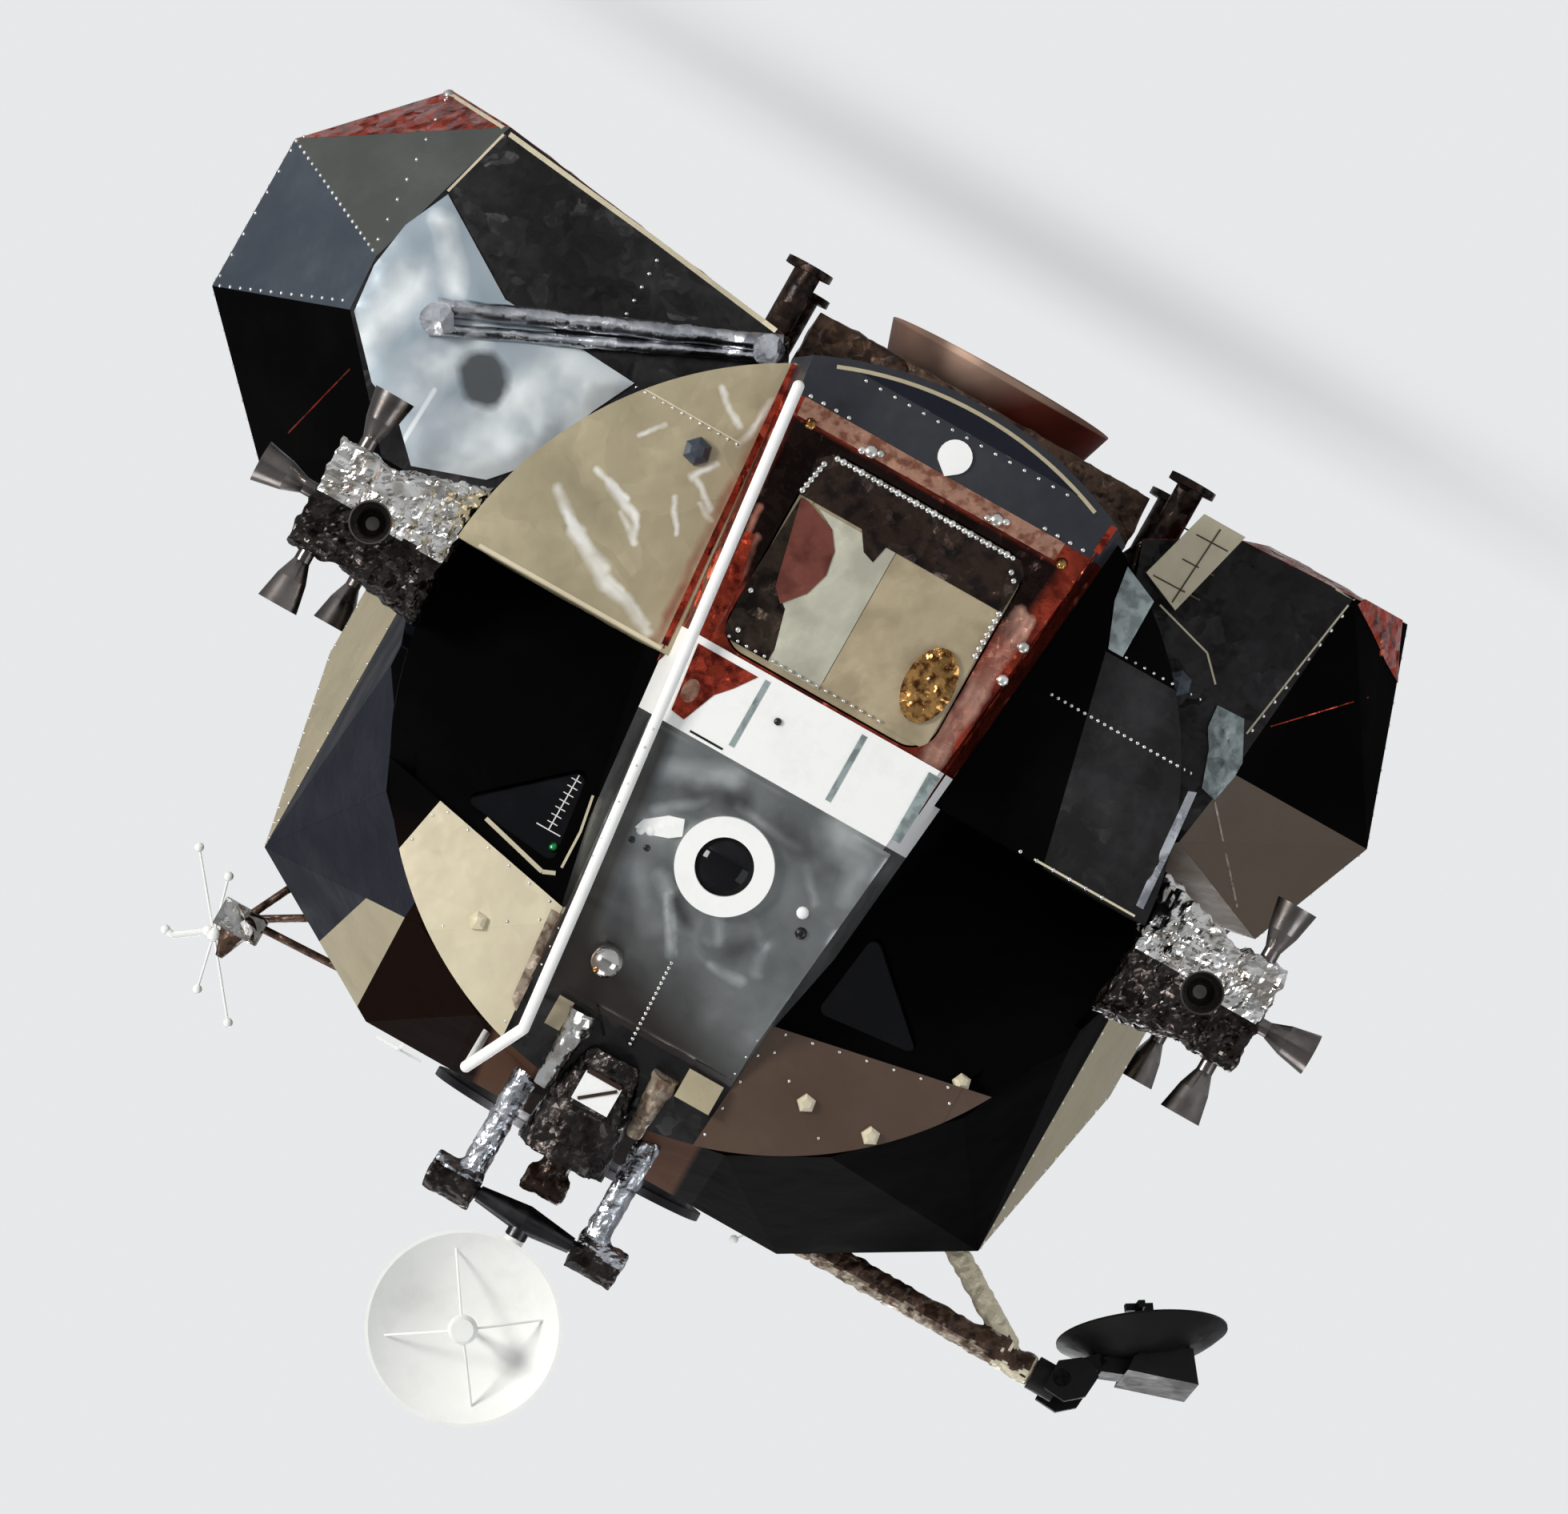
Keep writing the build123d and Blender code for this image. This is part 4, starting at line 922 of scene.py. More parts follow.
def strip(store, points, width, lift=0.0015, step=0.05):
    """Adds a thin flat strip along places on the photo."""
    for a, b in zip(points, points[1:]):
        count = max(2, int(math.dist(a, b) / step) + 1)
        places = [spot(*place) for place in row(a, b, count)]
        for (pa, na), (pb, _) in zip(places, places[1:]):
            if pa is None or pb is None or not 1e-5 < (pb - pa).length < 3 * step:
                continue
            side = (pb - pa).normalized().cross(na).normalized() * width / 2
            low = [pa - side, pb - side, pb + side, pa + side]
            top = [store.verts.new(c + na * lift) for c in low]
            foot = [store.verts.new(c - na * 0.002) for c in low]
            store.faces.new(top)
            for i in range(4):
                j = (i + 1) % 4
                store.faces.new((foot[i], foot[j], top[j], top[i]))


def beads(points, radius, store, sides=7, lift=0.0):
    """Adds a round head at each place on the photo."""
    for x, z in points:
        hit, normal = spot(x, z)
        if hit:
            dome(store, hit + normal * lift, normal, radius, sides)


def lines(name, look, slot, *runs):
    """One piece from several strips, each given as a width and its places on the photo."""
    store = bmesh.new()
    for width, *places in runs:
        strip(store, places, width)
    from_bmesh(name, store, look, slot=slot)


def studs(name, look, slot, *runs):
    """One piece from rows of round heads: radius, first and last place, count."""
    store = bmesh.new()
    for radius, first, last, count in runs:
        beads(row(first, last, count) if count > 1 else [first], radius, store)
    from_bmesh(name, store, look, slot=slot, soft=round_head)


# Forward hatch: pale foil in two sheets, a dark sheet, a red lens shape, a gold disc, beads
hatch = {"body": "hatch", "slot": "cream_shield", "at": (0.1, 0.8)}
patch("hatch_foil_starboard",
      [(-0.372, 1.13), (0.015, 1.13), (0.015, 0.625), (-0.372, 0.625)],
      hatch_foil, lift=0.006, depth=0.003, size=0.22, cell=0.03, **hatch)
patch("hatch_foil_port",
      [(0.018, 1.13), (0.202, 1.13), (0.202, 1.088), (0.237, 0.958), (0.259, 0.951), (0.200, 0.88),
       (0.178, 0.80), (0.190, 0.72), (0.231, 0.663), (0.30, 0.625), (0.018, 0.625)],
      hatch_pale, lift=0.0065, depth=0.003, size=0.22, cell=0.03, **hatch)
patch("hatch_dark_side",
      [(0.204, 1.13), (0.375, 1.13), (0.384, 0.951), (0.368, 0.621), (0.341, 0.676), (0.30, 0.91),
       (0.238, 0.958), (0.204, 1.088)],
      hatch_dark, lift=0.0075, depth=0.010, size=0.11, **hatch)
patch("hatch_red_side",
      [(0.259, 0.951), (0.200, 0.88), (0.176, 0.80), (0.190, 0.72), (0.231, 0.663), (0.341, 0.621),
       (0.368, 0.621), (0.335, 0.76), (0.30, 0.91)],
      hatch_red, lift=0.0095, depth=0.003, size=0.16, **hatch)
patch("hatch_dark_foot",
      [(-0.372, 0.628), (0.053, 0.628), (0.066, 0.69), (0.108, 0.676), (0.149, 0.615), (0.380, 0.615),
       (0.384, 0.49), (0.345, 0.452), (-0.345, 0.452), (-0.376, 0.49)],
      umber_foil, lift=0.009, depth=0.010, size=0.08, **hatch)
patch("hatch_gold_disc", ring_points(-0.284, 0.944, 0.082, 0.130), gold, lift=0.018, depth=0.010,
      size=0.035, cell=0.012, **hatch)
rim_beads = bmesh.new()
for index, place in enumerate(row((-0.317, 0.458), (0.327, 0.458), 30)):
    beads([place], (0.009, 0.013, 0.011)[index % 3], rim_beads, lift=0.011)
beads(row((-0.20, 1.122), (0.35, 1.122), 18), 0.006, rim_beads, lift=0.009)
beads(row((-0.367, 0.635), (-0.367, 0.79), 7) + row((0.352, 0.472), (0.376, 0.60), 7), 0.011, rim_beads,
      lift=0.011)
beads([(0.362, 0.96), (0.335, 1.09), (-0.335, 0.50), (-0.355, 0.52)], 0.010, rim_beads, lift=0.011)
from_bmesh("hatch_beads", rim_beads, bright, body="hatch", slot="steel", soft=round_head)

# Copper film beside the console, and thin film edges down both sides of the column
patch("film_console",
      [(0.345, 1.425), (0.395, 1.418), (0.425, 1.19), (0.205, 1.19), (0.255, 1.26), (0.30, 1.31)],
      kapton, size=0.10, depth=0.008, slot="copper_foil", at=(0.36, 1.30))
patch("film_spot", ring_points(0.372, 1.335, 0.028, 0.040), pale_copper, lift=0.009, depth=0.004,
      size=0.03, slot="copper_foil", at=(0.36, 1.30))
patch("film_port", [(0.40, 1.165), (0.445, 1.165), (0.470, 0.80), (0.440, 0.80), (0.402, 0.95)],
      kapton, size=0.05, depth=0.007, slot="copper_foil")
lines("column_edges", kapton, "copper_foil",
      (0.022, (-0.455, 1.32), (-0.55, 0.21)), (0.020, (0.512, 1.30), (0.60, 0.21)))
patch("console_side", [(-0.452, 1.43), (-0.420, 1.43), (-0.420, 1.185), (-0.462, 1.185)],
      pale_grey, lift=0.004, depth=0.003, size=0.05, slot="white_paint", at=(-0.40, 1.3))

# Console seams, sill fittings and the riveted band under the hatch
lines("console_seams", pale_grey, "white_paint",
      (0.018, (-0.184, 1.425), (-0.184, 1.185)), (0.018, (0.171, 1.425), (0.171, 1.185)))
lines("console_edge", gunmetal, "steel", (0.007, (0.19, 1.447), (0.31, 1.447)))
patch("sill_film", [(-0.435, 0.400), (0.51, 0.400), (0.515, 0.336), (-0.44, 0.336)], pale_copper,
      lift=0.004, depth=0.005, size=0.06, slot="copper_foil", at=(0.0, 0.365))
fittings = bmesh.new()
for x, z in ((-0.212, 0.376), (0.245, 0.384)):
    hit, normal = spot(x, z)
    for dx, dz, radius in ((0, 0, 0.024), (-0.028, -0.008, 0.014), (0.026, 0.010, 0.015)):
        dome(fittings, hit + Vector((dx, 0, dz)), normal, radius)
beads(row((-0.37, 0.195), (0.37, 0.195), 15), 0.0065, fittings)
beads(row((-0.50, 0.325), (-0.36, 0.325), 4) + row((0.36, 0.325), (0.50, 0.325), 4), 0.008, fittings)
beads([(-0.487, 0.69), (-0.481, 0.814)], 0.020, fittings)
from_bmesh("sill_fittings", fittings, bright, slot="steel", soft=round_head)
studs("sill_gold", gold, "copper_foil",
      (0.020, (-0.462, 0.395), (-0.462, 0.395), 1), (0.020, (0.458, 0.402), (0.458, 0.402), 1))


def arc_points(offset, reach, count=18):
    """Places along the drum's lower edge on the photo, moved inward by offset."""
    seen_radius, nearness = 1.275, 0.933
    middle = view_z + (drum_z - view_z) / nearness
    turns = [math.radians(-reach + 2 * reach * i / count) for i in range(count + 1)]
    radius = seen_radius - offset
    return [(radius * math.sin(t), middle - radius * math.cos(t)) for t in turns]


patch("skirt_lens", [(-0.40, 0.180), (0.40, 0.180)] + arc_points(0.016, 18.4)[::-1],
      slate, lift=0.003, depth=0.003, size=0.10, slot="dark_foil", at=(0.05, 0.15))
lines("skirt_trim", cream, "dark_foil", (0.012, *arc_points(0.009, 22)))
lines("skirt_ribs", blue_grey, "dark_foil",
      *[(0.018, (x, 0.185), (x, 0.125)) for x in (-0.145, 0.003, 0.155)])
patch("skirt_disc", [(0.003, 0.338)] + ring_points(0.003, 0.268, 0.056, None, 130, 410, 18),
      white, lift=0.008, depth=0.003, size=0.05, slot="white_paint")

# Bare sheet on the nose, creased round the tracking light
def ridge(height, away, width):
    """Height of a round-topped fold of that width, at a distance from its crest."""
    return height * math.exp(-(away / width) ** 2)


def nose_height(x, z):
    """How far the sheet stands off at a place on the photo."""
    light_z = 1.76
    out = math.hypot(x, z - light_z)
    round_light = ridge(0.0045, out - 0.275, 0.035) * (0.35 + 0.65 * (z > light_z + 0.02))
    hollow = ridge(0.006, out - 0.34, 0.09) * (z < light_z)
    round_dent = ridge(0.004, math.hypot(x + 0.13, z - 1.95) - 0.10, 0.02) * (x < 0.02)
    fold_x, fold_z, run_x, run_z, run_square = 0.003, 2.10, 0.105, -0.165, 0.0383
    along = ((x - fold_x) * run_x + (z - fold_z) * run_z) / run_square
    along = max(0.0, min(1.0, along))
    diagonal = ridge(0.007, math.hypot(x - fold_x - run_x * along, z - fold_z - run_z * along), 0.012)
    waves = 0.005 * noise.noise(Vector((x * 5, z * 5, 3))) + 0.002 * noise.noise(
        Vector((x * 14, z * 14, 7)))
    return round_light - hollow + round_dent + diagonal + waves


nose_sheet = bmesh.new()
nose_planes = [spot(0.25, 1.75, bare_tree), spot(0.25, 2.20, bare_tree)]
nose_low, nose_high, nose_rows, nose_cols = 1.475, 2.355, 90, 60
nose_half, half_at, nose_taper = 0.445, 1.46, 0.100
grid = []
for j in range(nose_rows + 1):
    z = nose_low + (nose_high - nose_low) * j / nose_rows
    half = nose_half - (z - half_at) * nose_taper
    line = []
    for i in range(nose_cols + 1):
        x = -half + 2 * half * i / nose_cols
        rim = min(i, nose_cols - i, j, nose_rows - j)
        aim = sight(x, z)
        far, lean = max(((flat - eye).dot(n) / aim.dot(n), n) for flat, n in nose_planes)
        rise = 0.0 if rim == 0 else 0.004 + max(-0.003, nose_height(x, z))
        line.append(nose_sheet.verts.new(eye + aim * far + lean * rise))
    grid.append(line)
for low, high in zip(grid, grid[1:]):
    for i in range(nose_cols):
        nose_sheet.faces.new((low[i], low[i + 1], high[i + 1], high[i]))
from_bmesh("nose_sheet", nose_sheet, sheet_metal, slot="grey_panel", soft=round_head)
nose_beads = bmesh.new()
beads(row((-0.016, 2.41), (-0.004, 2.12), 17), 0.0065, nose_beads, lift=0.005)
for side in (-1, 1):
    beads(row((side * 0.415, 1.50), (side * 0.355, 2.33), 14), 0.004, nose_beads)
from_bmesh("nose_beads", nose_beads, bright, slot="steel", soft=round_head)
patch("mirror_face", [(-0.066, 2.553), (0.064, 2.553), (0.064, 2.653), (-0.066, 2.653)], white,
      lift=0.007, depth=0.002, size=0.05, slot="white_paint", at=(0.0, 2.60))
mirror_arm = bmesh.new()
strip(mirror_arm, [(-0.055, 2.565), (0.045, 2.645)], 0.010, 0.011)
strip(mirror_arm, [(-0.062, 2.551), (0.060, 2.551)], 0.014, 0.009)
from_bmesh("mirror_arm", mirror_arm, brown, slot="dark_foil")
lines("nose_cords", dark_foil, "dark_foil", (0.008, (0.07, 2.43), (0.11, 2.385), (0.155, 2.33)))
studs("omni_glints", gold, "steel", (0.012, (0.197, 2.26), (0.197, 2.26), 1))
pale_bits, dark_bits = bmesh.new(), bmesh.new()
for x, z, radius in ((0.262, 1.783, 0.020), (0.29, 1.80, 0.015), (-0.29, 1.776, 0.020)):
    beads([(x, z)], radius, pale_bits, 10, 0.004)
for x, z, radius in ((-0.318, 1.835, 0.020), (0.247, 1.84, 0.014), (0.30, 1.84, 0.012),
                     (0.08, 1.283, 0.012)):
    beads([(x, z)], radius, dark_bits, 9, 0.003)
from_bmesh("nose_fittings", pale_bits, white, slot="white_paint", soft=round_head)
from_bmesh("nose_dark_fittings", dark_bits, gunmetal, slot="dark_foil", soft=round_head)

patch("lamp_scarf", [(0.165, 1.752), (0.185, 1.70), (0.235, 1.715), (0.30, 1.765), (0.312, 1.80),
                     (0.25, 1.795), (0.20, 1.778)],
      white, lift=0.012, depth=0.014, size=0.035, cell=0.012, slot="white_paint", at=(0.25, 1.68))
patch("handrail_sheet", [(0.352, 2.50), (0.385, 2.47), (0.415, 2.16), (0.372, 2.16)],
      pale_bark, lift=0.006, depth=0.004, size=0.06, slot="cream_shield")

# Sighting scale on the port pane and light strips along two edges of the port window
scale = bmesh.new()
strip(scale, [(0.548, 1.945), (0.548, 1.745)], 0.0035, 0.0012)
strip(scale, [(0.505, 1.945), (0.592, 1.945)], 0.0035, 0.0012)
for i in range(7):
    z = 1.92 - i * 0.026
    strip(scale, [(0.530, z), (0.566, z)], 0.003, 0.0012)
from_bmesh("pane_scale", scale, white, slot="pane")
lines("window_trim", ivory, "cream_shield", (0.014, (0.46, 2.055), (0.50, 2.072), (0.74, 2.012)),
      (0.008, (0.452, 2.03), (0.456, 1.90), (0.478, 1.78)))
studs("window_lamp", green, "pane", (0.018, (0.505, 1.985), (0.505, 1.985), 1))

# Small wedge-shaped lamps
wedges = bmesh.new()
beads([(-0.60, 2.30), (-0.83, 2.29), (-1.00, 2.0), (0.60, 2.31)], 0.032, wedges, 5)
from_bmesh("wedge_lamps", wedges, ivory, slot="cream_shield")

# Pale satin film over the upper front of the fuel bay
patch("bay_foil",
      [(1.272, 1.069), (1.503, 1.149), (1.624, 1.03), (1.744, 0.978), (1.905, 0.808), (1.922, 0.647),
       (1.898, 0.487), (1.828, 0.335), (1.503, 0.537), (1.012, 0.567), (1.082, 0.708), (1.182, 0.968)],
      white_foil, lift=0.010, depth=0.020, size=0.16, cell=0.03, at=(1.6, 0.8), shape=drape,
      slot="bay_shield")

# Bright riveted edges of the cheeks and both bays, with the fittings on them. The strips along the
# cheeks' top edge are painted light, the sunlit edge of a ledge.
lines("edge_strips", ivory, "cream_shield",
      (0.012, (0.52, 1.262), (1.19, 1.262)), (0.007, (-1.22, 1.262), (-0.85, 1.262)),
      (0.004, (0.62, 0.567), (1.02, 0.567)), (0.006, (-1.08, 0.49), (-1.007, 0.415), (-0.80, 0.356)),
      (0.008, (-1.333, 0.035), (-0.95, 0.028)), (0.006, (-1.244, 0.578), (-1.325, 0.06)),
      (0.016, (0.70, 0.198), (1.20, 0.132), (1.752, 0.070)), (0.014, (1.78, 0.062), (1.99, 0.052)),
      (0.008, (1.834, 0.326), (1.768, 0.080)))
lines("pale_seams", pale_bark, "bay_shield", (0.007, (-1.49, 1.075), (-1.262, 0.818)))
lines("red_seams", kapton, "bay_shield",
      (0.004, (-1.525, 0.285), (-1.27, 0.55)), (0.005, (1.925, 1.36), (1.826, 0.975)))
patch("cheek_edge_film",
      [(-1.232, 1.23), (-1.206, 1.23), (-1.185, 1.00), (-1.172, 0.83), (-1.198, 0.82), (-1.215, 1.0)],
      soft_silver, lift=0.006, depth=0.012, size=0.03, cell=0.012, at=(-1.15, 1.0), slot="grey_panel")
patch("oxidizer_patch",
      [(-1.259, 0.814), (-1.205, 0.80), (-1.163, 0.681), (-1.126, 0.622), (-1.118, 0.545),
       (-1.214, 0.541), (-1.278, 0.666), (-1.278, 0.72)],
      pale_grey, lift=0.012, depth=0.018, size=0.045, cell=0.014, at=(-1.20, 0.68), slot="bay_shield")
patch("oxidizer_film", [(-1.58, 0.20), (-1.52, 0.165), (-1.43, 0.10), (-1.345, 0.045), (-1.36, 0.018),
                        (-1.495, 0.018), (-1.53, 0.10)],
      kapton, lift=0.006, depth=0.016, size=0.05, at=(-1.47, 0.06), slot="copper_foil")
patch("cheek_grey_panel",
      [(-0.778, 0.56), (-0.726, 0.56), (-0.667, 0.415), (-0.65, 0.30), (-0.778, 0.356)],
      pale_grey, lift=0.006, depth=0.006, size=0.06, slot="grey_panel")
studs("seam_rivets", bright, "steel",
      (0.0065, (-1.15, 0.776), (-0.64, 0.776), 22), (0.0075, (-1.10, 1.262), (-0.80, 1.262), 6),
      (0.0055, (-1.06, 0.556), (-0.79, 0.556), 9), (0.006, (0.63, 0.575), (1.00, 0.575), 12),
      (0.008, (1.142, 0.386), (1.142, 0.19), 5), (0.007, (1.95, 0.608), (2.335, 0.425), 20),
      (0.007, (1.952, 0.57), (1.985, 0.075), 8), (0.006, (1.955, 0.795), (2.32, 0.948), 13),
      (0.006, (2.335, 0.92), (2.335, 0.46), 7), (0.006, (2.32, 0.40), (2.06, 0.075), 11),
      (0.014, (1.784, 0.587), (1.784, 0.587), 1), (0.020, (1.985, 0.055), (1.985, 0.055), 1),
      (0.007, (-1.254, 0.56), (-1.325, 0.10), 9))
studs("bay_glints", bright_copper, "copper_foil", (0.014, (-1.49, 0.14), (-1.47, 0.11), 2))
from_bmesh("shield_rivets", rivets, bright, slot="steel", soft=round_head)
ports = bmesh.new()
beads([(-0.975, 0.545), (0.73, 0.657)], 0.046, ports, 6, 0.006)
from_bmesh("cheek_ports", ports, blue_grey, slot="grey_panel")
lines("umbilical_lines", tan, "cream_shield", (0.005, (-0.83, 0.33), (-0.85, 0.05)),
      *[(0.005, (-0.905, z), (-0.735, z + 0.004)) for z in (0.10, 0.19, 0.28)])


# Thruster housings, radar posts, boom and shroud: crumpled film over the solids
def recast(node, name, looks, pick, voxel, depth, size):
    """Copy of a CAD node that stands for it, remeshed and crumpled.

    pick takes a face's centre and normal and gives the place of its look in the list.
    """
    obj = bpy.data.objects.new(name, nodes[node].data.copy())
    bpy.context.scene.collection.objects.link(obj)
    remesh = obj.modifiers.new("remesh", "REMESH")
    remesh.mode = "VOXEL"
    remesh.voxel_size = voxel
    graph = bpy.context.evaluated_depsgraph_get()
    mesh = bpy.data.meshes.new_from_object(obj.evaluated_get(graph))
    obj.modifiers.clear()
    obj.data = mesh
    normals = [v.normal.copy() for v in mesh.vertices]
    for vert, normal in zip(mesh.vertices, normals):
        vert.co += normal * (depth * (creases(vert.co, size) - 0.45))
    mesh.materials.clear()
    for look in looks:
        mesh.materials.append(look)
    for face in mesh.polygons:
        face.use_smooth = False
        face.material_index = pick(face.center, face.normal)
    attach(obj, body_names[node])
    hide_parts(node)


def wave(place):
    """Unevenness of a border between two films; on the thruster housings it is the edge of painted shade.
    """
    return 0.03 * noise.noise(place * 9)


def boom_pick(place, normal):
    """Brown film; pale film on upward faces and ivory on the end's outward and upward faces are painted
    light; an ivory band below.
    """
    if place.x < -1.50:
        return 2 if normal.x < -0.2 or normal.z > 0.3 else 0
    if place.z < 2.615 and place.x < -1.18:
        return 2
    return 1 if normal.z > 0.25 else 0


# Painted light and shade: each thruster housing is silver below, as if lit from below, and dark foil
# above as painted shade.
for node in [n for n in nodes if n.startswith("thruster_housing")]:
    recast(node, node.replace("housing", "film"), [silver, dark_foil],
           lambda place, normal: int(place.z > 1.37 + wave(place)), 0.011, 0.022, 0.055)
recast("radar_pedestal", "radar_posts", [soft_silver, dark_foil, umber_foil],
       lambda place, normal: 2 if abs(place.x) < 0.12 else int(place.z > 2.965 + wave(place)),
       0.009, 0.009, 0.05)
recast("s_band_boom", "boom_film", [bark, pale_bark, ivory], boom_pick, 0.010, 0.010, 0.05)
recast("telescope_shroud", "telescope_film", [dark_foil], lambda place, normal: 0, 0.009, 0.008, 0.05)

# Pieces that stand for plainer solids, made from tubes and hulls
def tube(store, a, b, r0, r1=None, sides=14, rings=1, crumple=0.0):
    """Closed round bar or cone between two points, crumpled a little if asked."""
    a, b = Vector(a), Vector(b)
    r1 = r0 if r1 is None else r1
    turn = (b - a).to_track_quat("Z", "Y")
    loops = []
    for i in range(rings + 1):
        share = i / rings
        reach = r0 + (r1 - r0) * share
        loop = []
        for k in range(sides):
            angle = math.tau * k / sides
            place = a.lerp(b, share) + turn @ Vector((math.cos(angle), math.sin(angle), 0)) * reach
            if crumple:
                place += (place - a.lerp(b, share)).normalized() * crumple * (creases(place, 0.05) - 0.5)
            loop.append(store.verts.new(place))
        loops.append(loop)
    for low, high in zip(loops, loops[1:]):
        for k in range(sides):
            store.faces.new((low[k], low[k - 1], high[k - 1], high[k]))
    store.faces.new(loops[0])
    store.faces.new(loops[-1][::-1])


def knob(store, centre, radius):
    """Adds a ball."""
    place = Matrix.Translation(Vector(centre))
    bmesh.ops.create_icosphere(store, subdivisions=2, radius=radius, matrix=place)


def wrap(store, points):
    """Convex hull of points."""
    found = [store.verts.new(p) for p in points]
    done = bmesh.ops.convex_hull(store, input=found)
    spare = [g for g in done["geom_interior"] if isinstance(g, bmesh.types.BMVert)]
    bmesh.ops.delete(store, geom=spare, context="VERTS")


def stands_for(node, name, *parts):
    """Pieces in several looks that ride with a CAD node, the first one in its place."""
    for index, (store, look) in enumerate(parts):
        obj = from_bmesh(f"{name}_{index}", store, look, soft=0.6, body=body_names[node],
                         slot=slot_of[node])
        if index == 0:
            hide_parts(node)


# Inflight antennas. Places are offsets outboard, rearward and up.
antenna_rods = [(-0.176, 0, 0.221), (0.175, 0, -0.216), (0.046, -0.06, -0.184), (-0.037, 0.06, 0.18)]
antenna_arm = [(0.02, 0, 0), (0.112, 0, 0.066), (0.14, 0, 0.062)]


def inflight_antenna(node, hub, side, legs):
    """Wrapped hub on three legs, a cone on it, crossed rods with balls, and an arm."""
    def out(offset, start=Vector(hub)):
        return start + Vector((side * offset[0], offset[1], offset[2]))

    dark, wrapped, pale = bmesh.new(), bmesh.new(), bmesh.new()
    for leg in legs:
        tube(dark, out(leg), out((0, 0, -0.01)), 0.013)
    tube(dark, out((0.009, 0, 0.04)), out((0.012, 0, 0.132)), 0.046, 0.012, 20)
    wrap(wrapped, [out((x, y, z)) for x in (-0.072, 0.08) for y in (-0.045, 0.045)
                   for z in (-0.046, 0.046)])
    cross = out((0.06, 0, 0.078))
    for step in antenna_rods:
        tube(pale, cross, out(step, cross), 0.004, sides=8)
        knob(pale, out(step, cross), 0.016)
    knob(pale, cross, 0.024)
    bend = [out(step, cross) for step in antenna_arm]
    for near, far in zip(bend, bend[1:]):
        tube(pale, near, far, 0.012)
    for place, radius in zip(bend, (0.02, 0.012, 0.016)):
        knob(pale, place, radius)
    stands_for(node, node.replace("antenna", "fitting"), (wrapped, silver), (dark, bark), (pale, white))


inflight_antenna("vhf_antenna_port", (1.236, -0.4, 2.666), 1,
                 [(-0.378, 0, -0.026), (-0.196, -0.04, -0.126), (-0.086, 0.06, -0.186)])
inflight_antenna("vhf_antenna_rear", (-0.76, 1.42, 2.56), -1,
                 [(0.10, -0.12, -0.26), (-0.16, 0, -0.26), (0.10, 0.14, -0.36)])

# Cones beside the telescope shroud, both polished metal: the starboard one's pale brown film is a painted
# reflection and the port one's bright silver foil a painted highlight
for name, x, low, radius, rings, look in (("nose_cone_dark", -0.158, 2.385, 0.044, 14, pale_bark),
                                          ("nose_cone_bright", 0.155, 2.331, 0.056, 16, silver)):
    cone = bmesh.new()
    tube(cone, (x, -1.722, low), (x, -1.65, 2.594), radius, 0.026, 24, rings, 0.012)
    from_bmesh(name, cone, look, slot=slot_of["telescope_shroud"], soft=0.5)

# Two tubes of different thickness across the fuel bay, between two knobs
bay_front = -0.8
strut = bmesh.new()
for radius, in_x, in_z, out_x, out_z in ((0.021, 0.67, 0.322, 1.62, 0.762),
                                         (0.031, 0.64, 0.262, 1.63, 0.690)):
    y = bay_front - 0.008 - radius
    tube(strut, (in_x, y, in_z), (out_x, y, out_z), radius, radius, 18, 22, 0.008)
for x, z, radius in ((0.67, 0.300, 0.050), (1.61, 0.722, 0.054)):
    tube(strut, (x, bay_front - 0.0003, z), (x, bay_front - 0.082, z), radius, radius, 24, 3, 0.010)
stands_for("fuel_bay_strut", "bay_strut", (strut, soft_silver))

# Docking target: a disc with a low cross
target_x, target_y, disc_low, disc_top, bar_low, cross_top = 0.61, -0.38, 2.733, 2.741, 2.769, 2.777
target = bmesh.new()
tube(target, (target_x, target_y, disc_low), (target_x, target_y, disc_top), 0.11, 0.11, 40)
for half_x, half_y, low in ((0.004, 0.004, disc_top), (0.08, 0.004, bar_low), (0.004, 0.08, bar_low)):
    wrap(target, [(target_x + x, target_y + y, z) for x in (-half_x, half_x) for y in (-half_y, half_y)
                  for z in (low, cross_top)])
stands_for("docking_target", "roof_target", (target, white))

# Steerable antenna: fork, dish and the case behind it, drawn hanging and then turned aft
boom_line = Vector((0, -0.4, 2.674))
hang = Matrix.Translation(boom_line) @ Matrix.Rotation(math.radians(24), 4, "X")
hang = hang @ Matrix.Translation(-boom_line)
swing = Vector((-1.762, -0.4, 2.594))


def beside(origin, x, y, z):
    """A place beside an origin, with y in metres and x and z in millimetres."""
    return origin + Vector((x / 1000, y, z / 1000))


fork = bmesh.new()
fork_root = boom_line + Vector((-1.72, 0, 0))
fork_line = [(40, 52), (-36, 58), (-88, 10), (-96, -70), (-62, -100), (-20, -100), (40, -52)]
tube(fork, beside(fork_root, 90, 0, 0), fork_root, 0.056, 0.056, 28)
tube(fork, beside(fork_root, 6, -0.066, -6), beside(fork_root, 6, 0.066, -6), 0.03, 0.03, 20)
tube(fork, beside(swing, 0, -0.056, 0), beside(swing, 0, 0.056, 0), 0.012, 0.012, 20)
for arm in ((-0.066, -0.054), (0.054, 0.066)):
    wrap(fork, [beside(fork_root, x, y, z) for x, z in fork_line for y in arm])
bmesh.ops.transform(fork, matrix=hang, verts=fork.verts)
stands_for("s_band_gimbal", "steerable_fork", (fork, shadow))

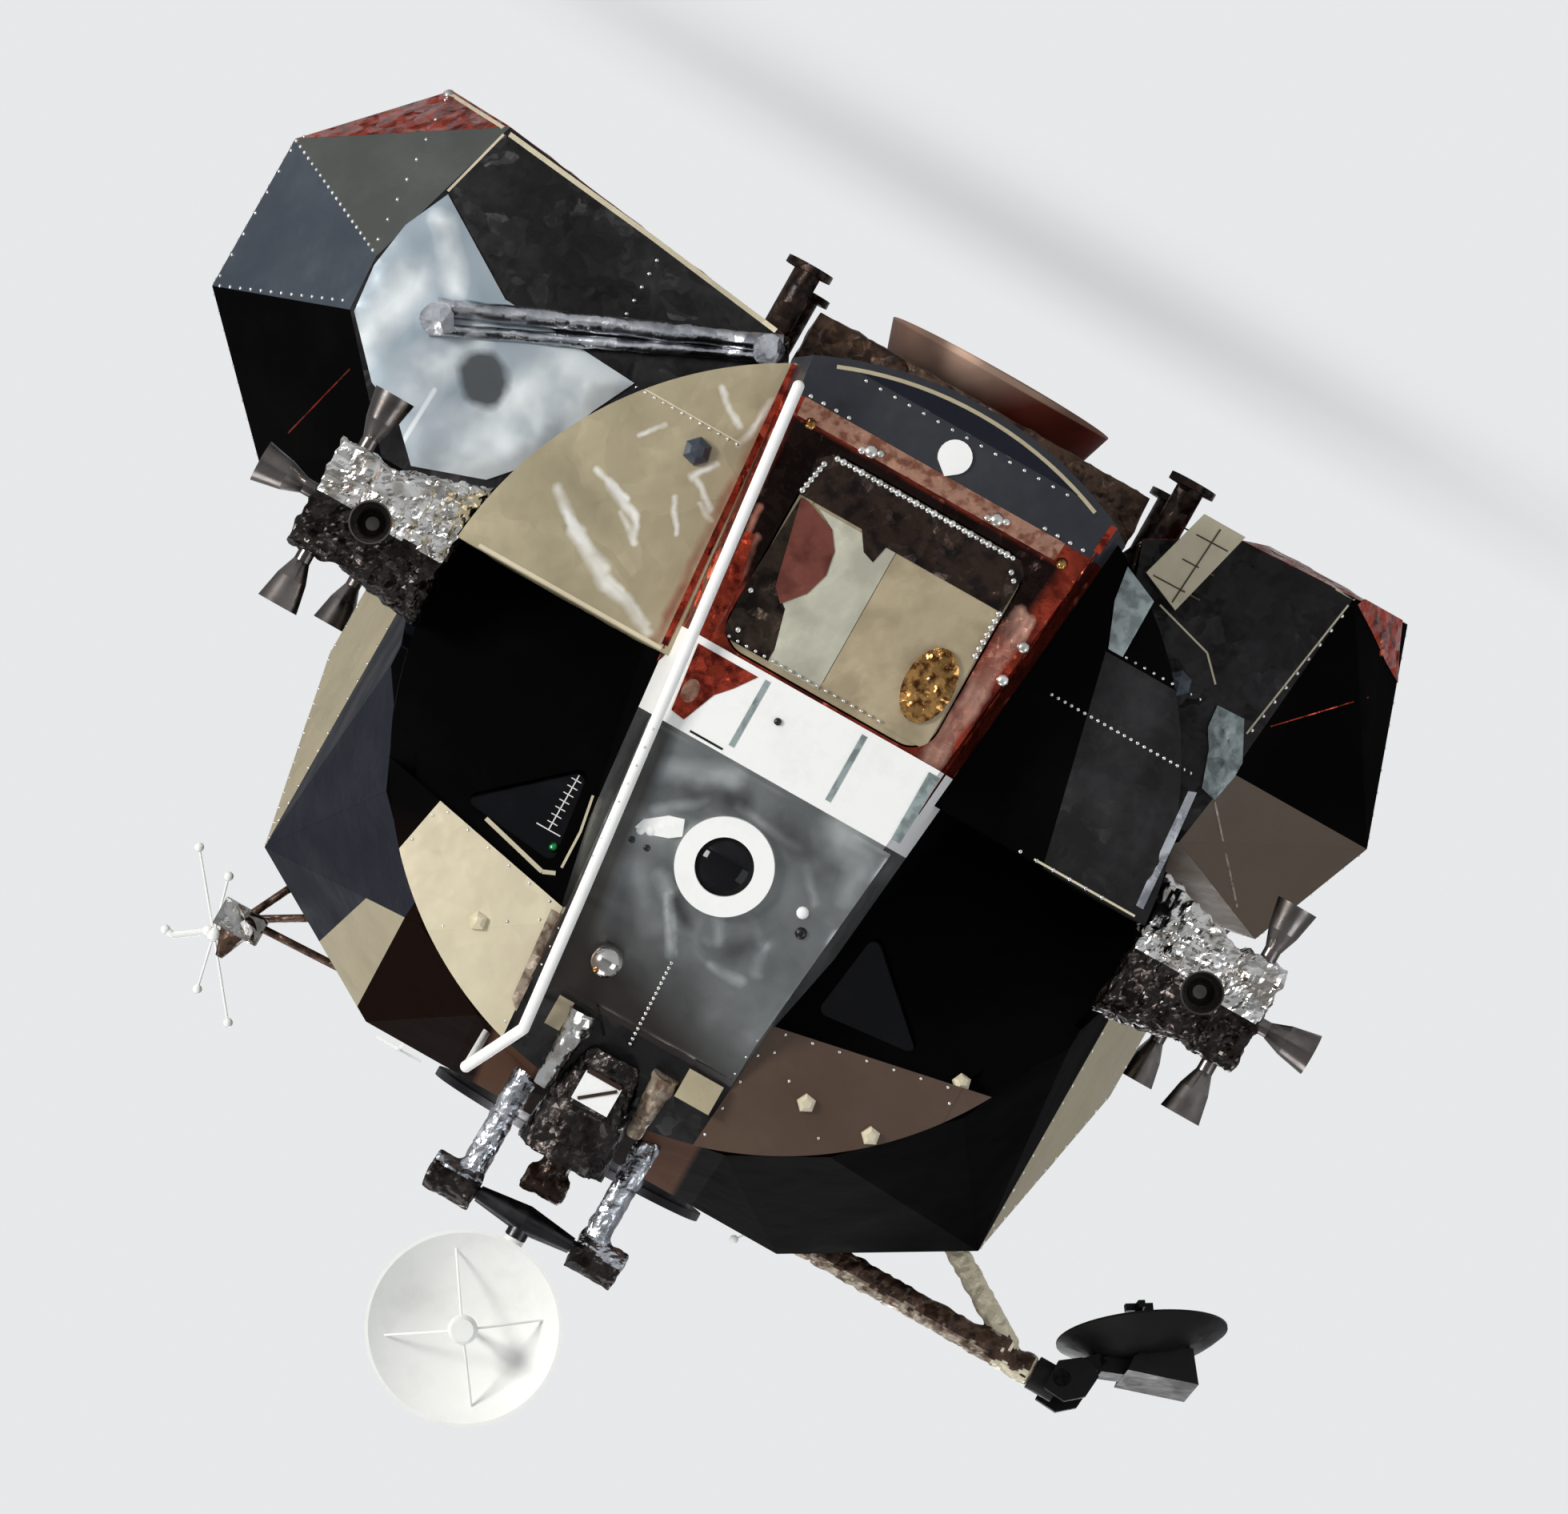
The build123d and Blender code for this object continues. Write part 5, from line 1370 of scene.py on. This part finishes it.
# The bowl is drawn facing up at the origin and then set on its axis
dish_r, dish_deep, dish_skin, feed = 0.273, 0.091, 0.007, 0.185
lean = math.radians(32.6)
face_up = Vector((math.cos(lean), 0, math.sin(lean)))
face_out = Vector((math.sin(lean), 0, -math.cos(lean)))
seat = Matrix((face_up, face_out.cross(face_up), face_out)).transposed().to_4x4()
seat.translation = Vector((swing.x - 0.119, swing.y, 2.385)) - face_out * dish_deep
sides, rings = 56, 9
bowl = bmesh.new()
curve = (dish_r ** 2 + dish_deep ** 2) / (2 * dish_deep)
rows = []
for half_skin, order in ((-dish_skin / 2, range(1, rings + 1)), (dish_skin / 2, range(rings, 0, -1))):
    for i in order:
        reach = dish_r * i / rings
        z = curve - math.sqrt(curve ** 2 - reach ** 2) + half_skin
        rows.append([bowl.verts.new((reach * math.cos(math.tau * k / sides),
                                     reach * math.sin(math.tau * k / sides), z)) for k in range(sides)])
for near, far in zip(rows, rows[1:]):
    for k in range(sides):
        bowl.faces.new((near[k], near[k - 1], far[k - 1], far[k]))
bowl.faces.new(rows[0])
bowl.faces.new(rows[-1][::-1])
tube(bowl, (0, 0, 0), (0, 0, feed), 0.012)
for wide, deep in ((0.045, 0.011), (0.011, 0.045)):
    wrap(bowl, [(x, y, feed + z) for x in (-wide, wide) for y in (-deep, deep) for z in (-0.012, 0.012)])
bmesh.ops.transform(bowl, matrix=seat, verts=bowl.verts)
case_parts = (([(-342, -122), (-273, -221), (-123, -48), (-120, -100), (-150, -150)], 0.095),
              ([(-150, -60), (-55, -21), (-30, -60), (-110, -120)], 0.040),
              ([(-26, 18), (26, 18), (26, -18), (-26, -18), (-60, -60), (-20, -70)], 0.040))
for line, half in case_parts:
    wrap(bowl, [beside(swing, x, y, z) for x, z in line for y in (-half, half)])
bmesh.ops.transform(bowl, matrix=hang, verts=bowl.verts)
stands_for("s_band_dish", "steerable_dish", (bowl, shadow))

# Backdrop: plain for the camera, darker below and paler above for what shines
backdrop = (0.80, 0.81, 0.82, 1)
world = bpy.data.worlds.new("studio")
bpy.context.scene.world = world
world.use_nodes = True
world.node_tree.nodes.clear()


def add(tree, kind, *inputs, **settings):
    """A node in a tree, with links or values for its first inputs; None leaves an input alone."""
    node = tree.nodes.new(kind)
    for key, value in settings.items():
        setattr(node, key, value)
    for socket, value in zip(node.inputs, inputs):
        if isinstance(value, bpy.types.NodeSocket):
            tree.links.new(value, socket)
        elif value is not None:
            socket.default_value = value
    return node


sky = world.node_tree
height = add(sky, "ShaderNodeSeparateXYZ", add(sky, "ShaderNodeTexCoord").outputs["Generated"])
shift = add(sky, "ShaderNodeMath", height.outputs["Z"], 0.5, 0.5, operation="MULTIPLY_ADD")
ramp = add(sky, "ShaderNodeValToRGB", shift.outputs[0])
for stop, position, colour in zip(ramp.color_ramp.elements, (0.3, 0.75),
                                  ((0.32, 0.33, 0.34, 1), (0.85, 0.87, 0.9, 1))):
    stop.position = position
    stop.color = colour
lit = add(sky, "ShaderNodeBackground", ramp.outputs[0], 0.42)
seen = add(sky, "ShaderNodeBackground", backdrop)
by_camera = add(sky, "ShaderNodeLightPath").outputs["Is Camera Ray"]
mix = add(sky, "ShaderNodeMixShader", by_camera, lit.outputs[0], seen.outputs[0])
add(sky, "ShaderNodeOutputWorld", mix.outputs[0])


def lamp(name, place, size, power, tint=(1, 1, 1)):
    """Square soft light at a place, facing the middle of the stage."""
    data = bpy.data.lights.new(name, "AREA")
    data.shape = "SQUARE"
    data.size = size
    data.energy = power
    data.color = tint
    obj = bpy.data.objects.new(name, data)
    bpy.context.scene.collection.objects.link(obj)
    obj.location = place
    obj.rotation_euler = (Vector((0, -0.3, 1.4)) - Vector(place)).to_track_quat("-Z", "Y").to_euler()


lamp("key", (13.0, -11.0, 2.6), 4.0, 2100, (1, 0.985, 0.95))
lamp("fill", (-12.0, -10.0, 4.0), 8.0, 480, (0.93, 0.96, 1))
lamp("back", (-6.0, 15.0, 11.0), 8.0, 1100)
lamp("top", (0.0, -1.0, 15.0), 8.0, 600)

# Floor, which fades into the backdrop away from the stage
floor_z = -0.45
floor_mesh = bpy.data.meshes.new("floor")
floor_bm = bmesh.new()
bmesh.ops.create_circle(floor_bm, cap_ends=True, radius=14.0, segments=96)
bmesh.ops.translate(floor_bm, verts=floor_bm.verts, vec=(0, 0, floor_z))
floor_bm.to_mesh(floor_mesh)
floor_bm.free()
floor = bpy.data.objects.new("floor", floor_mesh)
bpy.context.scene.collection.objects.link(floor)
floor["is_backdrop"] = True
floor_look = Look("pale_floor", (0.66, 0.67, 0.68), 0.9, specular=0.0)
edge = floor_look.ramp(floor_look.vector("LENGTH", floor_look.place), 0.5, 3.6, 0.72, 1.0)
by_camera = add(floor_look.tree, "ShaderNodeLightPath").outputs["Is Camera Ray"]
flat = add(floor_look.tree, "ShaderNodeEmission", backdrop)
blend = add(floor_look.tree, "ShaderNodeMixShader", floor_look.within(edge, by_camera),
            floor_look.bsdf.outputs[0], flat.outputs[0])
floor_look.put(floor_look.tree.nodes["Material Output"].inputs["Surface"], blend.outputs[0])
floor_mesh.materials.append(floor_look.mat)

# Camera straight ahead of the nose, rolled as the stage lies in the photo, which the pieces fill
# to that share of its width or height
right = Vector((-0.8704, 0, -0.4924))
up = Vector((0.4924, 0, -0.8704))
photo_wide, photo_high, filled, sensor = 1960, 1892, 0.88, 36.0
seen_points = []
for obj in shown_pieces():
    if obj.type == "MESH":
        count = len(obj.data.vertices)
        seen_points += [obj.data.vertices[i].co - eye for i in range(0, count, max(1, count // 400))]
spread_right = [p.dot(right) / p.y for p in seen_points]
spread_up = [p.dot(up) / p.y for p in seen_points]
mid_right = (min(spread_right) + max(spread_right)) / 2
mid_up = (min(spread_up) + max(spread_up)) / 2
aim = (Vector((0, 1, 0)) + right * mid_right + up * mid_up).normalized()
frame_wide = max(max(spread_right) - min(spread_right),
                 (max(spread_up) - min(spread_up)) * photo_wide / photo_high) / filled
camera_data = bpy.data.cameras.new("camera")
camera_data.sensor_width = sensor
camera_data.sensor_fit = "HORIZONTAL"
camera_data.lens = sensor / frame_wide
camera_data.clip_end = 300.0
camera = bpy.data.objects.new("camera", camera_data)
bpy.context.scene.collection.objects.link(camera)
side = aim.cross(up).normalized()
tip = side.cross(aim)
camera.matrix_world = Matrix((
    (side.x, tip.x, -aim.x, eye.x),
    (side.y, tip.y, -aim.y, eye.y),
    (side.z, tip.z, -aim.z, eye.z),
    (0, 0, 0, 1),
))
bpy.context.scene.camera = camera
bpy.context.scene.view_settings.view_transform = "Standard"
